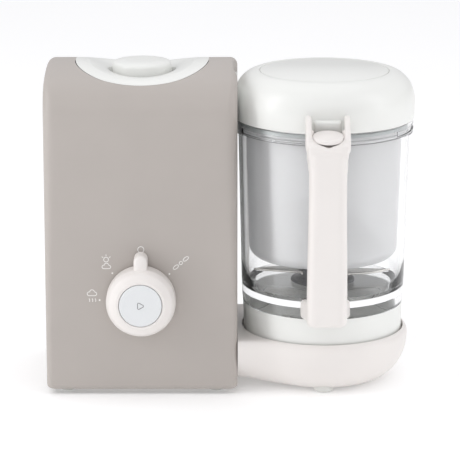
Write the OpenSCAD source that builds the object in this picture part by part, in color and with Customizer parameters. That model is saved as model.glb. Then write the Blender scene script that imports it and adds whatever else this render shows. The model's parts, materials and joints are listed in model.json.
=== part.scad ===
// Baby food maker: a steamer and blender with one bowl.
// A narrow tower holds the water tank, the motor and the controls. A low base runs out
// from its foot and carries the bowl, which a belt drives from below.
// +X points from the tower to the bowl, -Y is the front, +Z is up.
// The origin is the centre of the object's footprint, on the surface that it stands on.

/* [Tower] */
// Width of the tower, left to right
tower_w = 152; // [150:0.5:154]
// Depth of the tower, front to back
tower_d = 129; // [128:0.5:130]
// Height of the tower's crest above the table
tower_h = 258.8; // [257:0.1:260]
// Wall thickness of the tower shell
shell_t = 2.6; // [2.2:0.1:3]
// Radius of the front and back shoulders
shoulder_r = 28; // [24:1:32]
// Radius of the crown along the top, front to back
crown_r = 160; // [150:5:200]

/* [Filler] */
// Radius of the channel pressed across the top
channel_r = 137; // [130:1:145]
// Height of the channel's lowest line
channel_z = 252; // [251.5:0.1:252.5]
// Radius of the tank cap
cap_r = 23.6; // [22:0.1:24]

/* [Bowl] */
// Radius of the lid at its widest
lid_r = 72.3; // [72:0.1:72.6]
// Height of the lid's flat top above the table
lid_top_z = 252.8; // [252:0.1:254]
// Outer radius of the clear rim band
rim_r = 71.2; // [70.8:0.1:71.4]
// Outer radius of the clear wall under the rim
glass_top_r = 68.4; // [68:0.1:68.6]
// Outer radius of the clear wall at the floor
glass_low_r = 65.4; // [65:0.1:65.6]
// Outer radius of the white collar
collar_r = 64.4; // [64:0.1:64.6]
// Thickness of the clear wall
glass_t = 3; // [2.6:0.1:3.2]

/* [Handle] */
// Reach of the handle's front face from the bowl's axis
handle_reach = 107; // [105:0.5:109]
// Width of the grip
grip_w = 31; // [30:0.5:32]
// Thickness of the grip, front to back
grip_d = 16; // [15:0.5:17]

/* [Controls] */
// Radius of the selector knob
knob_r = 27.4; // [26:0.1:28]
// Radius of the start button in the knob
button_r = 16.8; // [16:0.1:17]
// Height of the knob's axis above the table
knob_z = 80; // [79:0.5:81]

/* [Drive] */
// Pitch radius of the motor pulley
motor_pulley_r = 9; // [8:0.5:10]
// Pitch radius of the driven pulley
driven_pulley_r = 27; // [26:0.5:28]
// Radius of the blade tips
blade_tip_r = 56; // [50:0.5:57]

/* [Hidden] */
$fn = 64;

eps = 0.5;            // overshoot of a cutting tool past the face that it cuts
fit = 0.05;           // radial clearance of a shaft in its bush
gap = 0.3;            // clearance between moulded parts that move or slip together
side_gap = 0.2;       // clearance between moulded parts of one body

// plan: the object's box is centred on the origin
tower_back_reach = 73;                         // tower's back face, from the bowl's axis
half_w = (tower_w + 141.4) / 2;
half_d = (handle_reach + tower_back_reach) / 2;
tower_x0 = -half_w;
tower_x1 = tower_x0 + tower_w;
tower_x = (tower_x0 + tower_x1) / 2;
bowl_x = half_w - lid_r;
bowl_y = handle_reach - half_d;
tower_y1 = half_d;
tower_y0 = tower_y1 - tower_d;
tower_y = (tower_y0 + tower_y1) / 2;

// tower
tower_z0 = 4;
edge_r = 10;
top_corner_r = 7;
foot_corner_r = 3.5;
crown_z = tower_h - crown_r;
shoulder_y = tower_d / 2 - shoulder_r;
shoulder_z = crown_z + sqrt(pow(crown_r - shoulder_r, 2) - pow(shoulder_y, 2));
shoulder_a = atan2(shoulder_z - crown_z, shoulder_y);
notch_lip = 3.4;                               // thickness of the white lip in the notch
notch_r = channel_r + notch_lip;
notch_axis_z = channel_z + channel_r;
recess_r = lid_r + 1.2;                        // hollow in the flank that clears the lid
flank_half = 38;
shell_split_y = 60;                            // joint between the front and rear shells
flank_z0 = 45;
flank_z1 = 247;
flank_t = 7;
steam_z = 226;
steam_r = 3.5;

// filler, tank and boiler
cap_top_z = 258;
cap_z0 = 248.6;
dish_r = 27;
dish_z = 248;
dish_t = 2.4;
neck_r = 20;
neck_wall = 2.4;
neck_z0 = 232;
tank_r = 34;
tank_t = 1.6;
tank_z0 = 149;
tank_z1 = 238;
heater_r = 29;

// motor and belt
motor_x = -40;
motor_r = 27;
motor_z0 = 44;
motor_z1 = 104;
motor_shaft_r = 3;
belt_z0 = 15.5;
belt_z1 = 24.5;
belt_t = 1.8;
flange_t = 1.2;
spindle_r = 4;
bearing_r = 9;

// base
base_r = 69;
base_top = 44;
base_bottom = 2;
base_core_r = 40;
base_belly_z = 38;
seat_z = 38;
seat_r = 65.3;
seat_deck_t = 4;
base_wall = 3;
neck_bottom = 8;
base_front = 56;                               // front of the neck, from the bowl's axis
base_back = 58;
cover_r = 37;
bowl_foot_r = 8.5;
bowl_foot_h = 5.5;
bowl_foot_reach = 44;
tray_x0 = tower_x0 + shell_t + 0.6;
tray_y0 = tower_y0 + shell_t + 0.6;
tray_y1 = tower_y1 - shell_t - 0.6;
cover_x0 = tray_x0 + 15;
cover_x1 = tower_x1 - shell_t - 12;
cover_y0 = tray_y0 + 15;
cover_y1 = tray_y1 - 15;

// bowl
collar_z0 = seat_z + gap;
collar_z1 = 64.6;
collar_t = 2.6;
skirt_z0 = 52;
floor_z0 = 73.5;
floor_z1 = 77.5;
ledge_z = 205.5;
rim_z0 = 205;
rim_z1 = 215.2;
rim_inner_r = 67.5;
boss_r = 12;
boss_z0 = 64;
boss_z1 = 79;
shaft_r = 4;
bush_r = 8;
shaft_z0 = 48;
shaft_z1 = 97;

// lid
lid_z0 = 215.6;
lid_t = 2.4;
lid_disc_r = 51.7;
lid_side_z = 228;
liner_z = 218;

// basket
basket_z0 = 102;
basket_low_r = 59.6;
basket_top_r = 62;
basket_t = 1.6;
basket_corner = 10;
flange_r = 67;

// handle
grip_front = bowl_y - handle_reach;
grip_back = grip_front + grip_d;
grip_z0 = 69.7;
grip_z1 = 208;
ear_w = 34.2;
ear_t = 4.4;
ear_top = 232;
ear_back = bowl_y - lid_r - 1.6;
pad_tilt = 9;
pad_r = 12;
pad_z = 217.7;
pad_travel = 2.5;

// knob
knob_face = tower_y0 - 0.6;                    // back of the knob's skirt
knob_depth = 22.5;

// Points of an arc from angle a0 to a1, n steps.
function arc(cx, cy, r, a0, a1, n) =
    [for (i = [0:n]) let(a = a0 + (a1 - a0) * i / n) [cx + r * cos(a), cy + r * sin(a)]];

// Radius of the clear wall's outside at a height.
function glass_r(z) = glass_low_r + (glass_top_r - glass_low_r) * (z - floor_z0) / (rim_z0 - floor_z0);

module at_bowl() { translate([bowl_x, bowl_y, 0]) children(); }
module at_filler() { translate([tower_x, tower_y, 0]) children(); }
module at_motor() { translate([motor_x, bowl_y, 0]) children(); }

// Stands its children, drawn along +Z, along +X from a point.
module along_x(p) { translate(p) rotate([0, 90, 0]) children(); }
// Stands its children, drawn along +Z, along -Y from a point.
module along_front(p) { translate(p) rotate([90, 0, 0]) children(); }
// Extrudes a profile drawn in Y and Z along +X.
module extrude_x(x0, x1) {
    translate([x0, 0, 0]) rotate([90, 0, 90]) linear_extrude(x1 - x0) children();
}
// Extrudes a profile drawn in X and Z along Y.
module extrude_y(y0, y1) {
    translate([0, y1, 0]) rotate([90, 0, 0]) linear_extrude(y1 - y0) children();
}

module ring(outer, inner, z0, z1) {
    translate([0, 0, z0])
        difference() {
            cylinder(r = outer, h = z1 - z0);
            translate([0, 0, -eps]) cylinder(r = inner, h = z1 - z0 + 2 * eps);
        }
}

module disc(r, z0, z1) { translate([0, 0, z0]) cylinder(r = r, h = z1 - z0); }

module block(low, high) { translate(low) cube(high - low); }

// ---------------------------------------------------------------- tower

// Side profile: upright faces, round shoulders and a slightly crowned top.
module side_profile(inset, z0) {
    a = shoulder_a;
    s = shoulder_r - inset;
    translate([tower_y, 0])
        polygon(concat(
            [[-tower_d / 2 + inset, z0]],
            arc(-shoulder_y, shoulder_z, s, 180, 180 - a, 8),
            arc(0, crown_z, crown_r - inset, 180 - a - 3, a + 3, 8),
            arc(shoulder_y, shoulder_z, s, a, 0, 8),
            [[tower_d / 2 - inset, z0]]));
}

// Front outline: rounded top corners, smaller ones at the foot.
module front_outline(inset, z0, foot_r) {
    x0 = tower_x0 + inset;
    x1 = tower_x1 - inset;
    top = tower_h - inset;
    r = max(top_corner_r - inset, 1);
    polygon(concat(
        arc(x0 + foot_r, z0 + foot_r, foot_r, 270, 180, 4),
        arc(x0 + r, top - r, r, 180, 90, 6),
        arc(x1 - r, top - r, r, 90, 0, 6),
        arc(x1 - foot_r, z0 + foot_r, foot_r, 0, -90, 4)));
}

// Plan outline with round upright edges.
module plan_outline(inset) {
    x0 = tower_x0 + inset;
    x1 = tower_x1 - inset;
    y0 = tower_y0 + inset;
    y1 = tower_y1 - inset;
    r = edge_r - inset;
    polygon(concat(
        arc(x0 + r, y0 + r, r, 270, 180, 6),
        arc(x0 + r, y1 - r, r, 180, 90, 6),
        arc(x1 - r, y1 - r, r, 90, 0, 6),
        arc(x1 - r, y0 + r, r, 0, -90, 6)));
}

module tower_volume(inset, z0, foot_r) {
    intersection() {
        extrude_x(tower_x0 - 1, tower_x1 + 1) side_profile(inset, z0);
        extrude_y(tower_y0 - 1, tower_y1 + 1) front_outline(inset, z0, foot_r);
        translate([0, 0, z0 - 1]) linear_extrude(tower_h - z0 + 2) plan_outline(inset);
    }
}

// The channel across the top, as a cylinder lying front to back.
module channel(r) {
    translate([tower_x, tower_y1 + 5, notch_axis_z])
        rotate([90, 0, 0]) cylinder(r = r, h = tower_d + 10, $fn = 96);
}

// Part of the shell between two planes, front to back.
module shell_part(y0, y1) {
    difference() {
        intersection() {
            tower_volume(0, tower_z0, foot_corner_r);
            block([tower_x0 - 1, y0, tower_z0 - 1], [tower_x1 + 1, y1, tower_h + 1]);
        }
        difference() {
            tower_volume(shell_t, tower_z0 - 3, 0.5);
            // thick edge over the flank panel, hollowed below to clear the lid
            block([tower_x1 - flank_t, bowl_y - flank_half, flank_z1],
                  [tower_x1 + 1, bowl_y + flank_half, tower_h + 1]);
        }
        at_bowl() disc(recess_r, flank_z1 - 1, tower_h + 5);
        channel(notch_r + side_gap);
        // window for the white flank panel
        block([tower_x1 - shell_t - eps, bowl_y - flank_half, flank_z0],
              [tower_x1 + eps, bowl_y + flank_half, flank_z1]);
        // passage for the belt into the base
        block([tower_x1 - shell_t - eps, bowl_y - 34, tower_z0 - eps],
              [tower_x1 + eps, bowl_y + 34, 36]);
        // hole for the selector's shaft
        along_front([tower_x, tower_y0 + shell_t + eps, knob_z])
            cylinder(r = 5, h = shell_t + 2 * eps);
        // hole for the cord gland
        along_front([-118, tower_y1 + eps, 24]) cylinder(r = 6, h = shell_t + 2 * eps);
        // cooling slots, low on the back
        for (i = [0:7])
            block([-70 + 9 * i, tower_y1 - shell_t - eps, 30],
                  [-66.5 + 9 * i, tower_y1 + eps, 62]);
    }
}

module tower_shell() { color([0.72, 0.70, 0.68]) shell_part(tower_y0 - 1, shell_split_y); }

module rear_shell() { color([0.72, 0.70, 0.68]) shell_part(shell_split_y, tower_y1 + 1); }

module top_saddle() {
    color([0.93, 0.93, 0.90])
        difference() {
            union() {
                intersection() {
                    tower_volume(0, 200, 0.5);
                    channel(notch_r);
                }
                at_filler() disc(neck_r + neck_wall, neck_z0, dish_z + 1);
                at_filler() disc(dish_r + dish_t, dish_z - dish_t, dish_z + 1.6);
            }
            channel(channel_r);
            at_filler() disc(dish_r, dish_z, 270);
            at_filler() disc(neck_r, neck_z0 - eps, 270);
        }
}

module tank_cap() {
    color([0.95, 0.95, 0.93])
        at_filler()
            difference() {
                rotate_extrude()
                    polygon(concat(
                        [[0, cap_z0]],
                        [[cap_r - 0.6, cap_z0]],
                        [[cap_r, cap_z0 + 1]],
                        arc(cap_r - 3, cap_top_z - 3, 3, 0, 78, 6),
                        [[cap_r - 8, cap_top_z - 0.5], [0, cap_top_z]]));
                // socket over the plug's spigot
                disc(7 + gap, cap_z0 - eps, cap_z0 + 4.6);
            }
}

module cap_plug() {
    color([0.85, 0.86, 0.85])
        at_filler()
            difference() {
                union() {
                    disc(neck_r - 1.2, 236, cap_z0 - gap);
                    disc(7, 240, cap_z0 + 4);
                }
                disc(neck_r - 3.2, 235, cap_z0 - 3);
                ring(neck_r + 1, neck_r - 2, 240, 243);
            }
}

module cap_seal() {
    color([0.6, 0.62, 0.62])
        at_filler() ring(neck_r - 0.15, neck_r - 1.9, 240.1, 242.9);
}

module water_tank() {
    color([0.75, 0.76, 0.77])
        difference() {
            at_filler()
                difference() {
                    union() {
                        disc(tank_r, tank_z0, tank_z1 - 3);
                        translate([0, 0, tank_z1 - 3])
                            cylinder(r1 = tank_r, r2 = tank_r - 3, h = 3);
                    }
                    disc(tank_r - tank_t, tank_z0 + tank_t, tank_z1 - 4);
                    disc(neck_r + neck_wall + side_gap, tank_z1 - 6, tank_z1 + eps);
                }
            along_x([tower_x, bowl_y, steam_z]) cylinder(r = steam_r + 1.5, h = 50);
        }
}

module heater_plate() {
    color([0.80, 0.80, 0.80]) at_filler() disc(heater_r, 146.2, tank_z0);
}

module heater_ring() {
    color([0.55, 0.53, 0.50])
        at_filler()
            translate([0, 0, 142.6])
                rotate_extrude(angle = 320) translate([20, 0]) circle(r = 3.5, $fn = 32);
}

module thermal_cutout() {
    color([0.2, 0.2, 0.2]) at_filler() disc(7, 138, 146);
}

module steam_tube() {
    x0 = tower_x + 30.6;
    color([0.88, 0.88, 0.86])
        along_x([x0, bowl_y, steam_z])
            difference() {
                cylinder(r = steam_r + 1.4, h = tower_x1 - flank_t - x0);
                translate([0, 0, -eps]) cylinder(r = steam_r, h = 80);
            }
}

module steam_nozzle() {
    color([0.80, 0.82, 0.82])
        along_x([tower_x1 - flank_t, bowl_y, steam_z])
            difference() {
                cylinder(r = 7, h = bowl_x - recess_r + 0.6 - (tower_x1 - flank_t));
                translate([0, 0, -eps]) cylinder(r = steam_r, h = 20);
            }
}

// Concave white panel in the tower's right side, hollowed to clear the lid.
module flank_panel() {
    g = side_gap;
    color([0.93, 0.93, 0.91])
        difference() {
            block([tower_x1 - flank_t, bowl_y - flank_half + g, flank_z0 + g],
                  [tower_x1 - 0.3, bowl_y + flank_half - g, flank_z1 - g]);
            at_bowl() disc(recess_r, flank_z0 - 2, flank_z1 + 2);
            along_x([tower_x1 - flank_t - eps, bowl_y, steam_z])
                cylinder(r = 7 + side_gap, h = flank_t + 1);
        }
}

// Inner frame: motor deck, back wall and tank shelf in one moulding.
module chassis() {
    x0 = tower_x0 + shell_t + 1;
    x1 = tower_x1 - flank_t - 1;
    y0 = tower_y0 + shell_t + 1;
    y1 = tower_y1 - shell_t - 1;
    color([0.35, 0.36, 0.38])
        difference() {
            union() {
                block([x0 + 8, y0 + 8, 39], [x1, y1, 43]);
                block([x0 + 8, y1 - 3, 39], [x1, y1, 149]);
                block([x0 + 8, y0 + 20, tank_z0 - 3], [x1, y1, tank_z0]);
                for (x = [x0 + 8, x1 - 3])
                    block([x, y1 - 30, 39], [x + 3, y1, tank_z0]);
            }
            at_filler() disc(heater_r + side_gap, 140, 155);
            at_motor() disc(9, 35, 50);
            for (a = [45:90:315])
                at_motor() rotate([0, 0, a]) translate([19, 0, 30]) cylinder(r = 1.6, h = 20, $fn = 24);
        }
}

module control_board() {
    y = tower_y0 + 25;
    color([0.10, 0.42, 0.24]) {
        block([tower_x - 36, y, 48], [tower_x + 34, y + 1.6, 128]);
        block([tower_x - 30, y + 1.6, 96], [tower_x - 12, y + 13, 122]);
        block([tower_x + 4, y + 1.6, 104], [tower_x + 22, y + 9, 118]);
    }
}

module rotary_switch() {
    color([0.15, 0.15, 0.16])
        difference() {
            union() {
                along_front([tower_x, tower_y0 + 24.8, knob_z]) cylinder(r = 15, h = 17);
                along_front([tower_x, tower_y0 + 10, knob_z]) cylinder(r = 8, h = 7);
            }
            along_front([tower_x, tower_y0 + 20, knob_z]) cylinder(r = 3 + fit, h = 20);
        }
}

module cord_gland() {
    color([0.85, 0.84, 0.82])
        along_front([-118, tower_y1 - 0.2, 24])
            difference() {
                union() {
                    cylinder(r = 6 - side_gap, h = 8);
                    translate([0, 0, shell_t]) cylinder(r = 9, h = 3);
                }
                translate([0, 0, -eps]) cylinder(r = 3.4, h = 12);
            }
}

// ------------------------------------------------------------- controls

// Selector: a round-edged drum with a raised pointer over its top edge.
module knob() {
    front = knob_face - knob_depth;
    color([0.93, 0.91, 0.89])
        difference() {
            union() {
                along_front([tower_x, knob_face, knob_z])
                    rotate_extrude()
                        polygon(concat(
                            [[0, 0], [knob_r - 1.2, 0], [knob_r, 1.5]],
                            arc(knob_r - 8, 12.5, 8, 0, 60, 8),
                            arc(button_r + 2.4, knob_depth - 1, 1, 60, 90, 3),
                            [[0, knob_depth]]));
                // pointer
                hull()
                    for (z = [knob_r - 1, knob_r + 5.6])
                        along_front([tower_x, knob_face - 1, knob_z + z])
                            cylinder(r = 5.4, h = 15.5, $fn = 32);
            }
            // well for the button
            along_front([tower_x, front + 9, knob_z]) cylinder(r = button_r + gap, h = 12);
            // hollow for the spring and the button's stem
            along_front([tower_x, front + 16, knob_z]) cylinder(r = 7, h = 12);
            // bore for the shaft
            along_front([tower_x, knob_face + eps, knob_z]) cylinder(r = 3, h = 12);
        }
}

module knob_shaft() {
    color([0.7, 0.7, 0.72])
        along_front([tower_x, tower_y0 + 18, knob_z]) cylinder(r = 3, h = 22.6);
}

module start_button() {
    front = knob_face - knob_depth;
    r = button_r;
    color([0.88, 0.89, 0.90])
        along_front([tower_x, front + 6, knob_z])
            difference() {
                rotate_extrude()
                    polygon(concat(
                        [[0, 0], [r, 0]],
                        arc(r - 1, 5.4, 1, 0, 90, 4),
                        [[r - 6, 6.1], [0, 5.8]]));
                translate([0, 0, -eps]) cylinder(r = 3.6, h = 2);
            }
}

// A coil spring's outline: a plain sleeve, which flattens as it is pressed.
module button_spring() {
    front = knob_face - knob_depth;
    color([0.7, 0.7, 0.7])
        along_front([tower_x, front + 15.8, knob_z])
            difference() {
                cylinder(r = 5.5, h = 9.6);
                translate([0, 0, -eps]) cylinder(r = 4.7, h = 12);
            }
}

// ---------------------------------------------------------------- drive

module motor_can() {
    color([0.62, 0.62, 0.64])
        at_motor()
            difference() {
                union() {
                    disc(motor_r, motor_z0, motor_z1 - 8);
                    disc(motor_r - 6, motor_z1 - 8.5, motor_z1);
                    disc(10, 43.2, motor_z0 + 1);
                }
                disc(motor_shaft_r + fit, 40, motor_z1 + 2);
            }
}

module motor_shaft() {
    color([0.75, 0.75, 0.77]) at_motor() disc(motor_shaft_r, 12, 114);
}

module motor_fan() {
    color([0.25, 0.25, 0.27])
        at_motor()
            difference() {
                union() {
                    disc(7, 106, 114);
                    disc(22, 106, 107.4);
                    for (a = [0:40:320])
                        rotate([0, 0, a]) translate([5, -0.8, 107]) cube([16, 1.6, 6.5]);
                }
                disc(motor_shaft_r, 105, 116);
            }
}

module pulley(r, bore, z0, z1) {
    difference() {
        union() {
            disc(r - gap, z0, z1);
            disc(r + 1.6, z0 - flange_t, z0);
            disc(r + 1.6, z1, z1 + flange_t);
        }
        disc(bore, z0 - 3, z1 + 3);
    }
}

module motor_pulley() {
    color([0.3, 0.3, 0.32])
        at_motor() pulley(motor_pulley_r, motor_shaft_r, belt_z0 - gap, belt_z1 + gap);
}

module motor_screws() {
    color([0.6, 0.6, 0.62])
        for (a = [45:90:315])
            at_motor() rotate([0, 0, a]) translate([19, 0, 0]) {
                disc(3, 36.8, 39);
                disc(1.5, 38.5, 43.8);
            }
}

module belt_loop(extra) {
    hull() {
        translate([motor_x, bowl_y]) circle(r = motor_pulley_r + extra, $fn = 32);
        translate([bowl_x, bowl_y]) circle(r = driven_pulley_r + extra, $fn = 48);
    }
}

module drive_belt() {
    color([0.12, 0.12, 0.12])
        translate([0, 0, belt_z0])
            linear_extrude(belt_z1 - belt_z0)
                difference() {
                    belt_loop(belt_t + 0.2);
                    belt_loop(0.2);
                }
}

module driven_pulley() {
    color([0.3, 0.3, 0.32])
        at_bowl() pulley(driven_pulley_r, spindle_r, belt_z0 - gap, belt_z1 + gap);
}

module drive_spindle() {
    color([0.72, 0.72, 0.74]) at_bowl() disc(spindle_r, 6.5, 46);
}

module spindle_bearings() {
    color([0.70, 0.68, 0.60])
        at_bowl() {
            ring(bearing_r, spindle_r + fit, 28, 37);
            ring(bearing_r, spindle_r + fit, 6, 11);
        }
}

// Dog clutch half: a disc with four lugs.
module dog(z0, z1, lug_z0, lug_z1, turn) {
    difference() {
        union() {
            disc(13, z0, z1);
            for (a = [0:90:270])
                rotate([0, 0, a + turn])
                    translate([0, 0, lug_z0])
                        rotate_extrude(angle = 32) translate([6.5, 0]) square([6.5, lug_z1 - lug_z0]);
        }
        disc(spindle_r, z0 - 10, z1 + 10);
    }
}

module drive_dog() {
    color([0.85, 0.85, 0.83]) at_bowl() dog(39.5, 42.5, 42, 46.8, 0);
}

module bowl_dog() {
    color([0.20, 0.21, 0.22]) at_bowl() dog(48, 51.5, 43.4, 48.5, 45);
}

// ----------------------------------------------------------------- base

// Half section of the round end: a rolled lip over a belly that turns in below.
module base_section(inset) {
    a = base_r - base_core_r - inset;
    b = base_belly_z - base_bottom - inset;
    bottom = base_belly_z - b;
    polygon(concat(
        [[0, bottom], [base_core_r, bottom]],
        [for (t = [-80:10:0]) [base_core_r + a * cos(t), base_belly_z + b * sin(t)]],
        [for (t = [15:15:75])
            [base_r - 4.4 + (4.4 - inset) * cos(t), base_belly_z + (base_top - base_belly_z) * sin(t)]],
        [[base_r - 4.6, base_top], [0, base_top]]));
}

// Section of the neck between the tower and the round end.
module neck_section(inset) {
    a = 26 - inset;
    b = base_belly_z - neck_bottom - inset;
    low = base_belly_z - b;
    function rim(c, dir) =
        [for (t = [-90:15:0]) [c + dir * a * cos(t), base_belly_z + b * sin(t)]];
    front = bowl_y - base_front + 26;
    back = bowl_y + base_back - 26;
    polygon(concat(
        rim(front, -1),
        [[front - 24, 42.2], [front - 20, base_top]],
        [[back + 20, base_top], [back + 24, 42.2]],
        [for (i = [6:-1:0]) rim(back, 1)[i]]));
}

module base_body() {
    x1 = tower_x1 - shell_t - 0.6;
    color([0.93, 0.91, 0.89])
        difference() {
            union() {
                difference() {
                    union() {
                        at_bowl() rotate_extrude($fn = 96) base_section(0);
                        extrude_x(tower_x1 + side_gap, bowl_x) neck_section(0);
                        // tongue through the shell's side
                        block([tower_x1 - 12, bowl_y - 33, neck_bottom + 0.5],
                              [tower_x1 + 12, bowl_y + 33, 35.5]);
                        // tray under the tower
                        block([tray_x0 + 6, tray_y0 + 6, 4.5], [x1, tray_y1 - 6, 38]);
                    }
                    // seat for the bowl
                    at_bowl() disc(seat_r, seat_z, 60);
                    // hollow under the seat
                    at_bowl()
                        intersection() {
                            rotate_extrude($fn = 96) base_section(base_wall);
                            disc(80, 0, seat_z - seat_deck_t);
                        }
                    at_bowl() disc(cover_r + side_gap, 0, 8);
                    // tunnel for the belt
                    block([tower_x1 - 16, bowl_y - 30, 11], [bowl_x, bowl_y + 30, seat_z - seat_deck_t]);
                    // space under the motor deck, and its opening below
                    block([tray_x0 + 9, tray_y0 + 9, 9.5], [x1 - 3.4, tray_y1 - 9, 39]);
                    block([tray_x0 + 24, tray_y0 + 24, 0], [x1 - 18, tray_y1 - 24, 11]);
                    block([cover_x0 - side_gap, cover_y0 - side_gap, 0],
                          [cover_x1 + side_gap, cover_y1 + side_gap, 7.4]);
                }
                // boss round the bearing, posts for the cover's screws, seats for the feet
                at_bowl() disc(bearing_r + 3, 27.5, seat_z);
                at_bowl() cover_screw_places() disc(3, 5.2, seat_z - seat_deck_t + 1);
                intersection() {
                    at_bowl() rotate_extrude($fn = 96) base_section(0);
                    bowl_foot_places() disc(10.7, 0, 8);
                }
            }
            at_bowl() disc(bearing_r, 20, 50);
            at_bowl() cover_screw_places() disc(1.7, 0, 8);
            at_bowl() disc(cover_r + side_gap, 0, 5.1);
            bowl_foot_places() disc(bowl_foot_r + side_gap, 0, bowl_foot_h + 0.1);
            tower_screw_places() disc(1.7, 3, 12);
        }
}

// Three places round the cover under the bowl, clear of the belt and the feet.
module cover_screw_places() {
    for (a = [0, 75, 285]) rotate([0, 0, a]) translate([33, 0, 0]) children();
}

module tower_screw_places() {
    for (x = [cover_x0 + 8, cover_x1 - 12], y = [cover_y0 + 5, cover_y1 - 5])
        translate([x, y, 0]) children();
}

module bowl_foot_places() {
    for (s = [-1, 1]) translate([bowl_x, bowl_y + bowl_foot_reach * s, 0]) children();
}

module seat_cover() {
    color([0.90, 0.89, 0.87])
        difference() {
            at_bowl()
                union() {
                    disc(cover_r, base_bottom, base_bottom + 3);
                    disc(bearing_r + 3, base_bottom, 10.5);
                }
            at_bowl() disc(bearing_r, 6, 12);
            at_bowl() cover_screw_places() disc(1.7, 0, 8);
            bowl_foot_places() disc(bowl_foot_r + side_gap, 0, bowl_foot_h + 0.1);
        }
}

module tower_cover() {
    color([0.90, 0.89, 0.87])
        difference() {
            block([cover_x0, cover_y0, 4.5], [cover_x1, cover_y1, 7.2]);
            for (i = [0:6])
                block([cover_x0 + 24 + 11 * i, tower_y + 8, 3], [cover_x0 + 28 + 11 * i, tower_y + 34, 9]);
            tower_screw_places() disc(1.7, 3, 9);
        }
}

module cover_screw(z) {
    disc(3.2, z - 1.6, z);
    disc(1.6, z - 0.5, z + 5);
}

module cover_screws() {
    color([0.6, 0.6, 0.62]) {
        at_bowl() cover_screw_places() cover_screw(base_bottom);
        tower_screw_places() cover_screw(4.5);
    }
}

module foot(r, h) {
    rotate_extrude()
        polygon(concat([[0, h], [r, h]], [for (t = [0:-15:-75]) [r - 3 + 3 * cos(t), 3 + 3 * sin(t)]],
                       [[r - 3, 0], [0, 0]]));
}

// Soft feet: two under the bowl's end and four under the tower.
module feet() {
    color([0.90, 0.90, 0.88]) {
        bowl_foot_places() foot(bowl_foot_r, bowl_foot_h);
        for (x = [tower_x0 + 16, tower_x1 - 17], y = [tower_y0 + 16, tower_y1 - 16])
            translate([x, y, 0]) foot(6.8, 4.5);
    }
}

// ----------------------------------------------------------------- bowl

module bowl_glass() {
    wall = glass_t;
    color([0.85, 0.88, 0.90, 0.4])
        at_bowl()
            difference() {
                rotate_extrude($fn = 96)
                    polygon([
                        [bush_r, boss_z0], [boss_r, boss_z0], [boss_r, floor_z0 - 3],
                        [collar_r - collar_t - 3.4, floor_z0 - 1],
                        [collar_r - collar_t - 3.4, skirt_z0], [collar_r - collar_t - side_gap, skirt_z0],
                        [collar_r - collar_t - side_gap, collar_z1 + 0.2],
                        [collar_r + 0.2, collar_z1 + 0.2],
                        [glass_low_r, floor_z0], [glass_top_r, rim_z0 - 0.8],
                        [rim_r, rim_z0], [rim_r, rim_z1], [rim_inner_r, rim_z1],
                        [rim_inner_r, ledge_z], [glass_r(ledge_z) - wall, ledge_z],
                        [glass_r(90) - wall, 90], [glass_r(82) - wall - 1.5, 81.5],
                        [glass_r(78) - wall - 6, floor_z1],
                        [boss_r, floor_z1], [boss_r - 1, boss_z1], [bush_r, boss_z1]]);
                // bayonet slots in the rim band
                for (a = [-158, -38, 82])
                    rotate([0, 0, a])
                        rotate_extrude(angle = 62)
                            translate([rim_r - 1.6, rim_z0 + 2.4]) square([3, 4]);
            }
}

module bowl_collar() {
    color([0.88, 0.89, 0.88])
        at_bowl()
            difference() {
                rotate_extrude($fn = 96)
                    polygon([
                        [18, collar_z0], [collar_r - 2, collar_z0], [collar_r - 0.8, collar_z0 + 1],
                        [collar_r, collar_z1], [collar_r - collar_t, collar_z1],
                        [collar_r - collar_t, skirt_z0 - 2], [collar_r - collar_t - 3, collar_z0 + 3],
                        [18, collar_z0 + 3]]);
                for (a = [0:60:300])
                    rotate([0, 0, a]) translate([30, -2, 30]) cube([24, 4, 30]);
            }
}

module shaft_bush() {
    color([0.75, 0.62, 0.38]) at_bowl() ring(bush_r, shaft_r + fit, boss_z0, boss_z1);
}

module shaft_seal() {
    color([0.3, 0.3, 0.3]) at_bowl() ring(bush_r + 2, shaft_r + gap, boss_z1, boss_z1 + 1.8);
}

// Side profile of one ear, in Y and Z.
module ear_profile() {
    f = grip_front;
    polygon([
        [f + 0.6, grip_z1 - 6], [f, grip_z1 + 2], [f + 1.2, 215.5], [f + 9, 219.5],
        [f + 15.5, 224.5], [f + 19.5, ear_top - 2], [f + 22, ear_top],
        [ear_back - 1.5, ear_top], [ear_back, ear_top - 1.5],
        [ear_back, 216], [bowl_y - rim_r - side_gap, 214], [bowl_y - rim_r - side_gap, 207.5],
        [bowl_y - glass_top_r - 1.2, 205], [bowl_y - glass_top_r - 1.2, 196],
        [f + grip_d + 4, 192], [f + grip_d, 186], [f + grip_d, 180], [f + 1, 180]]);
}

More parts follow.
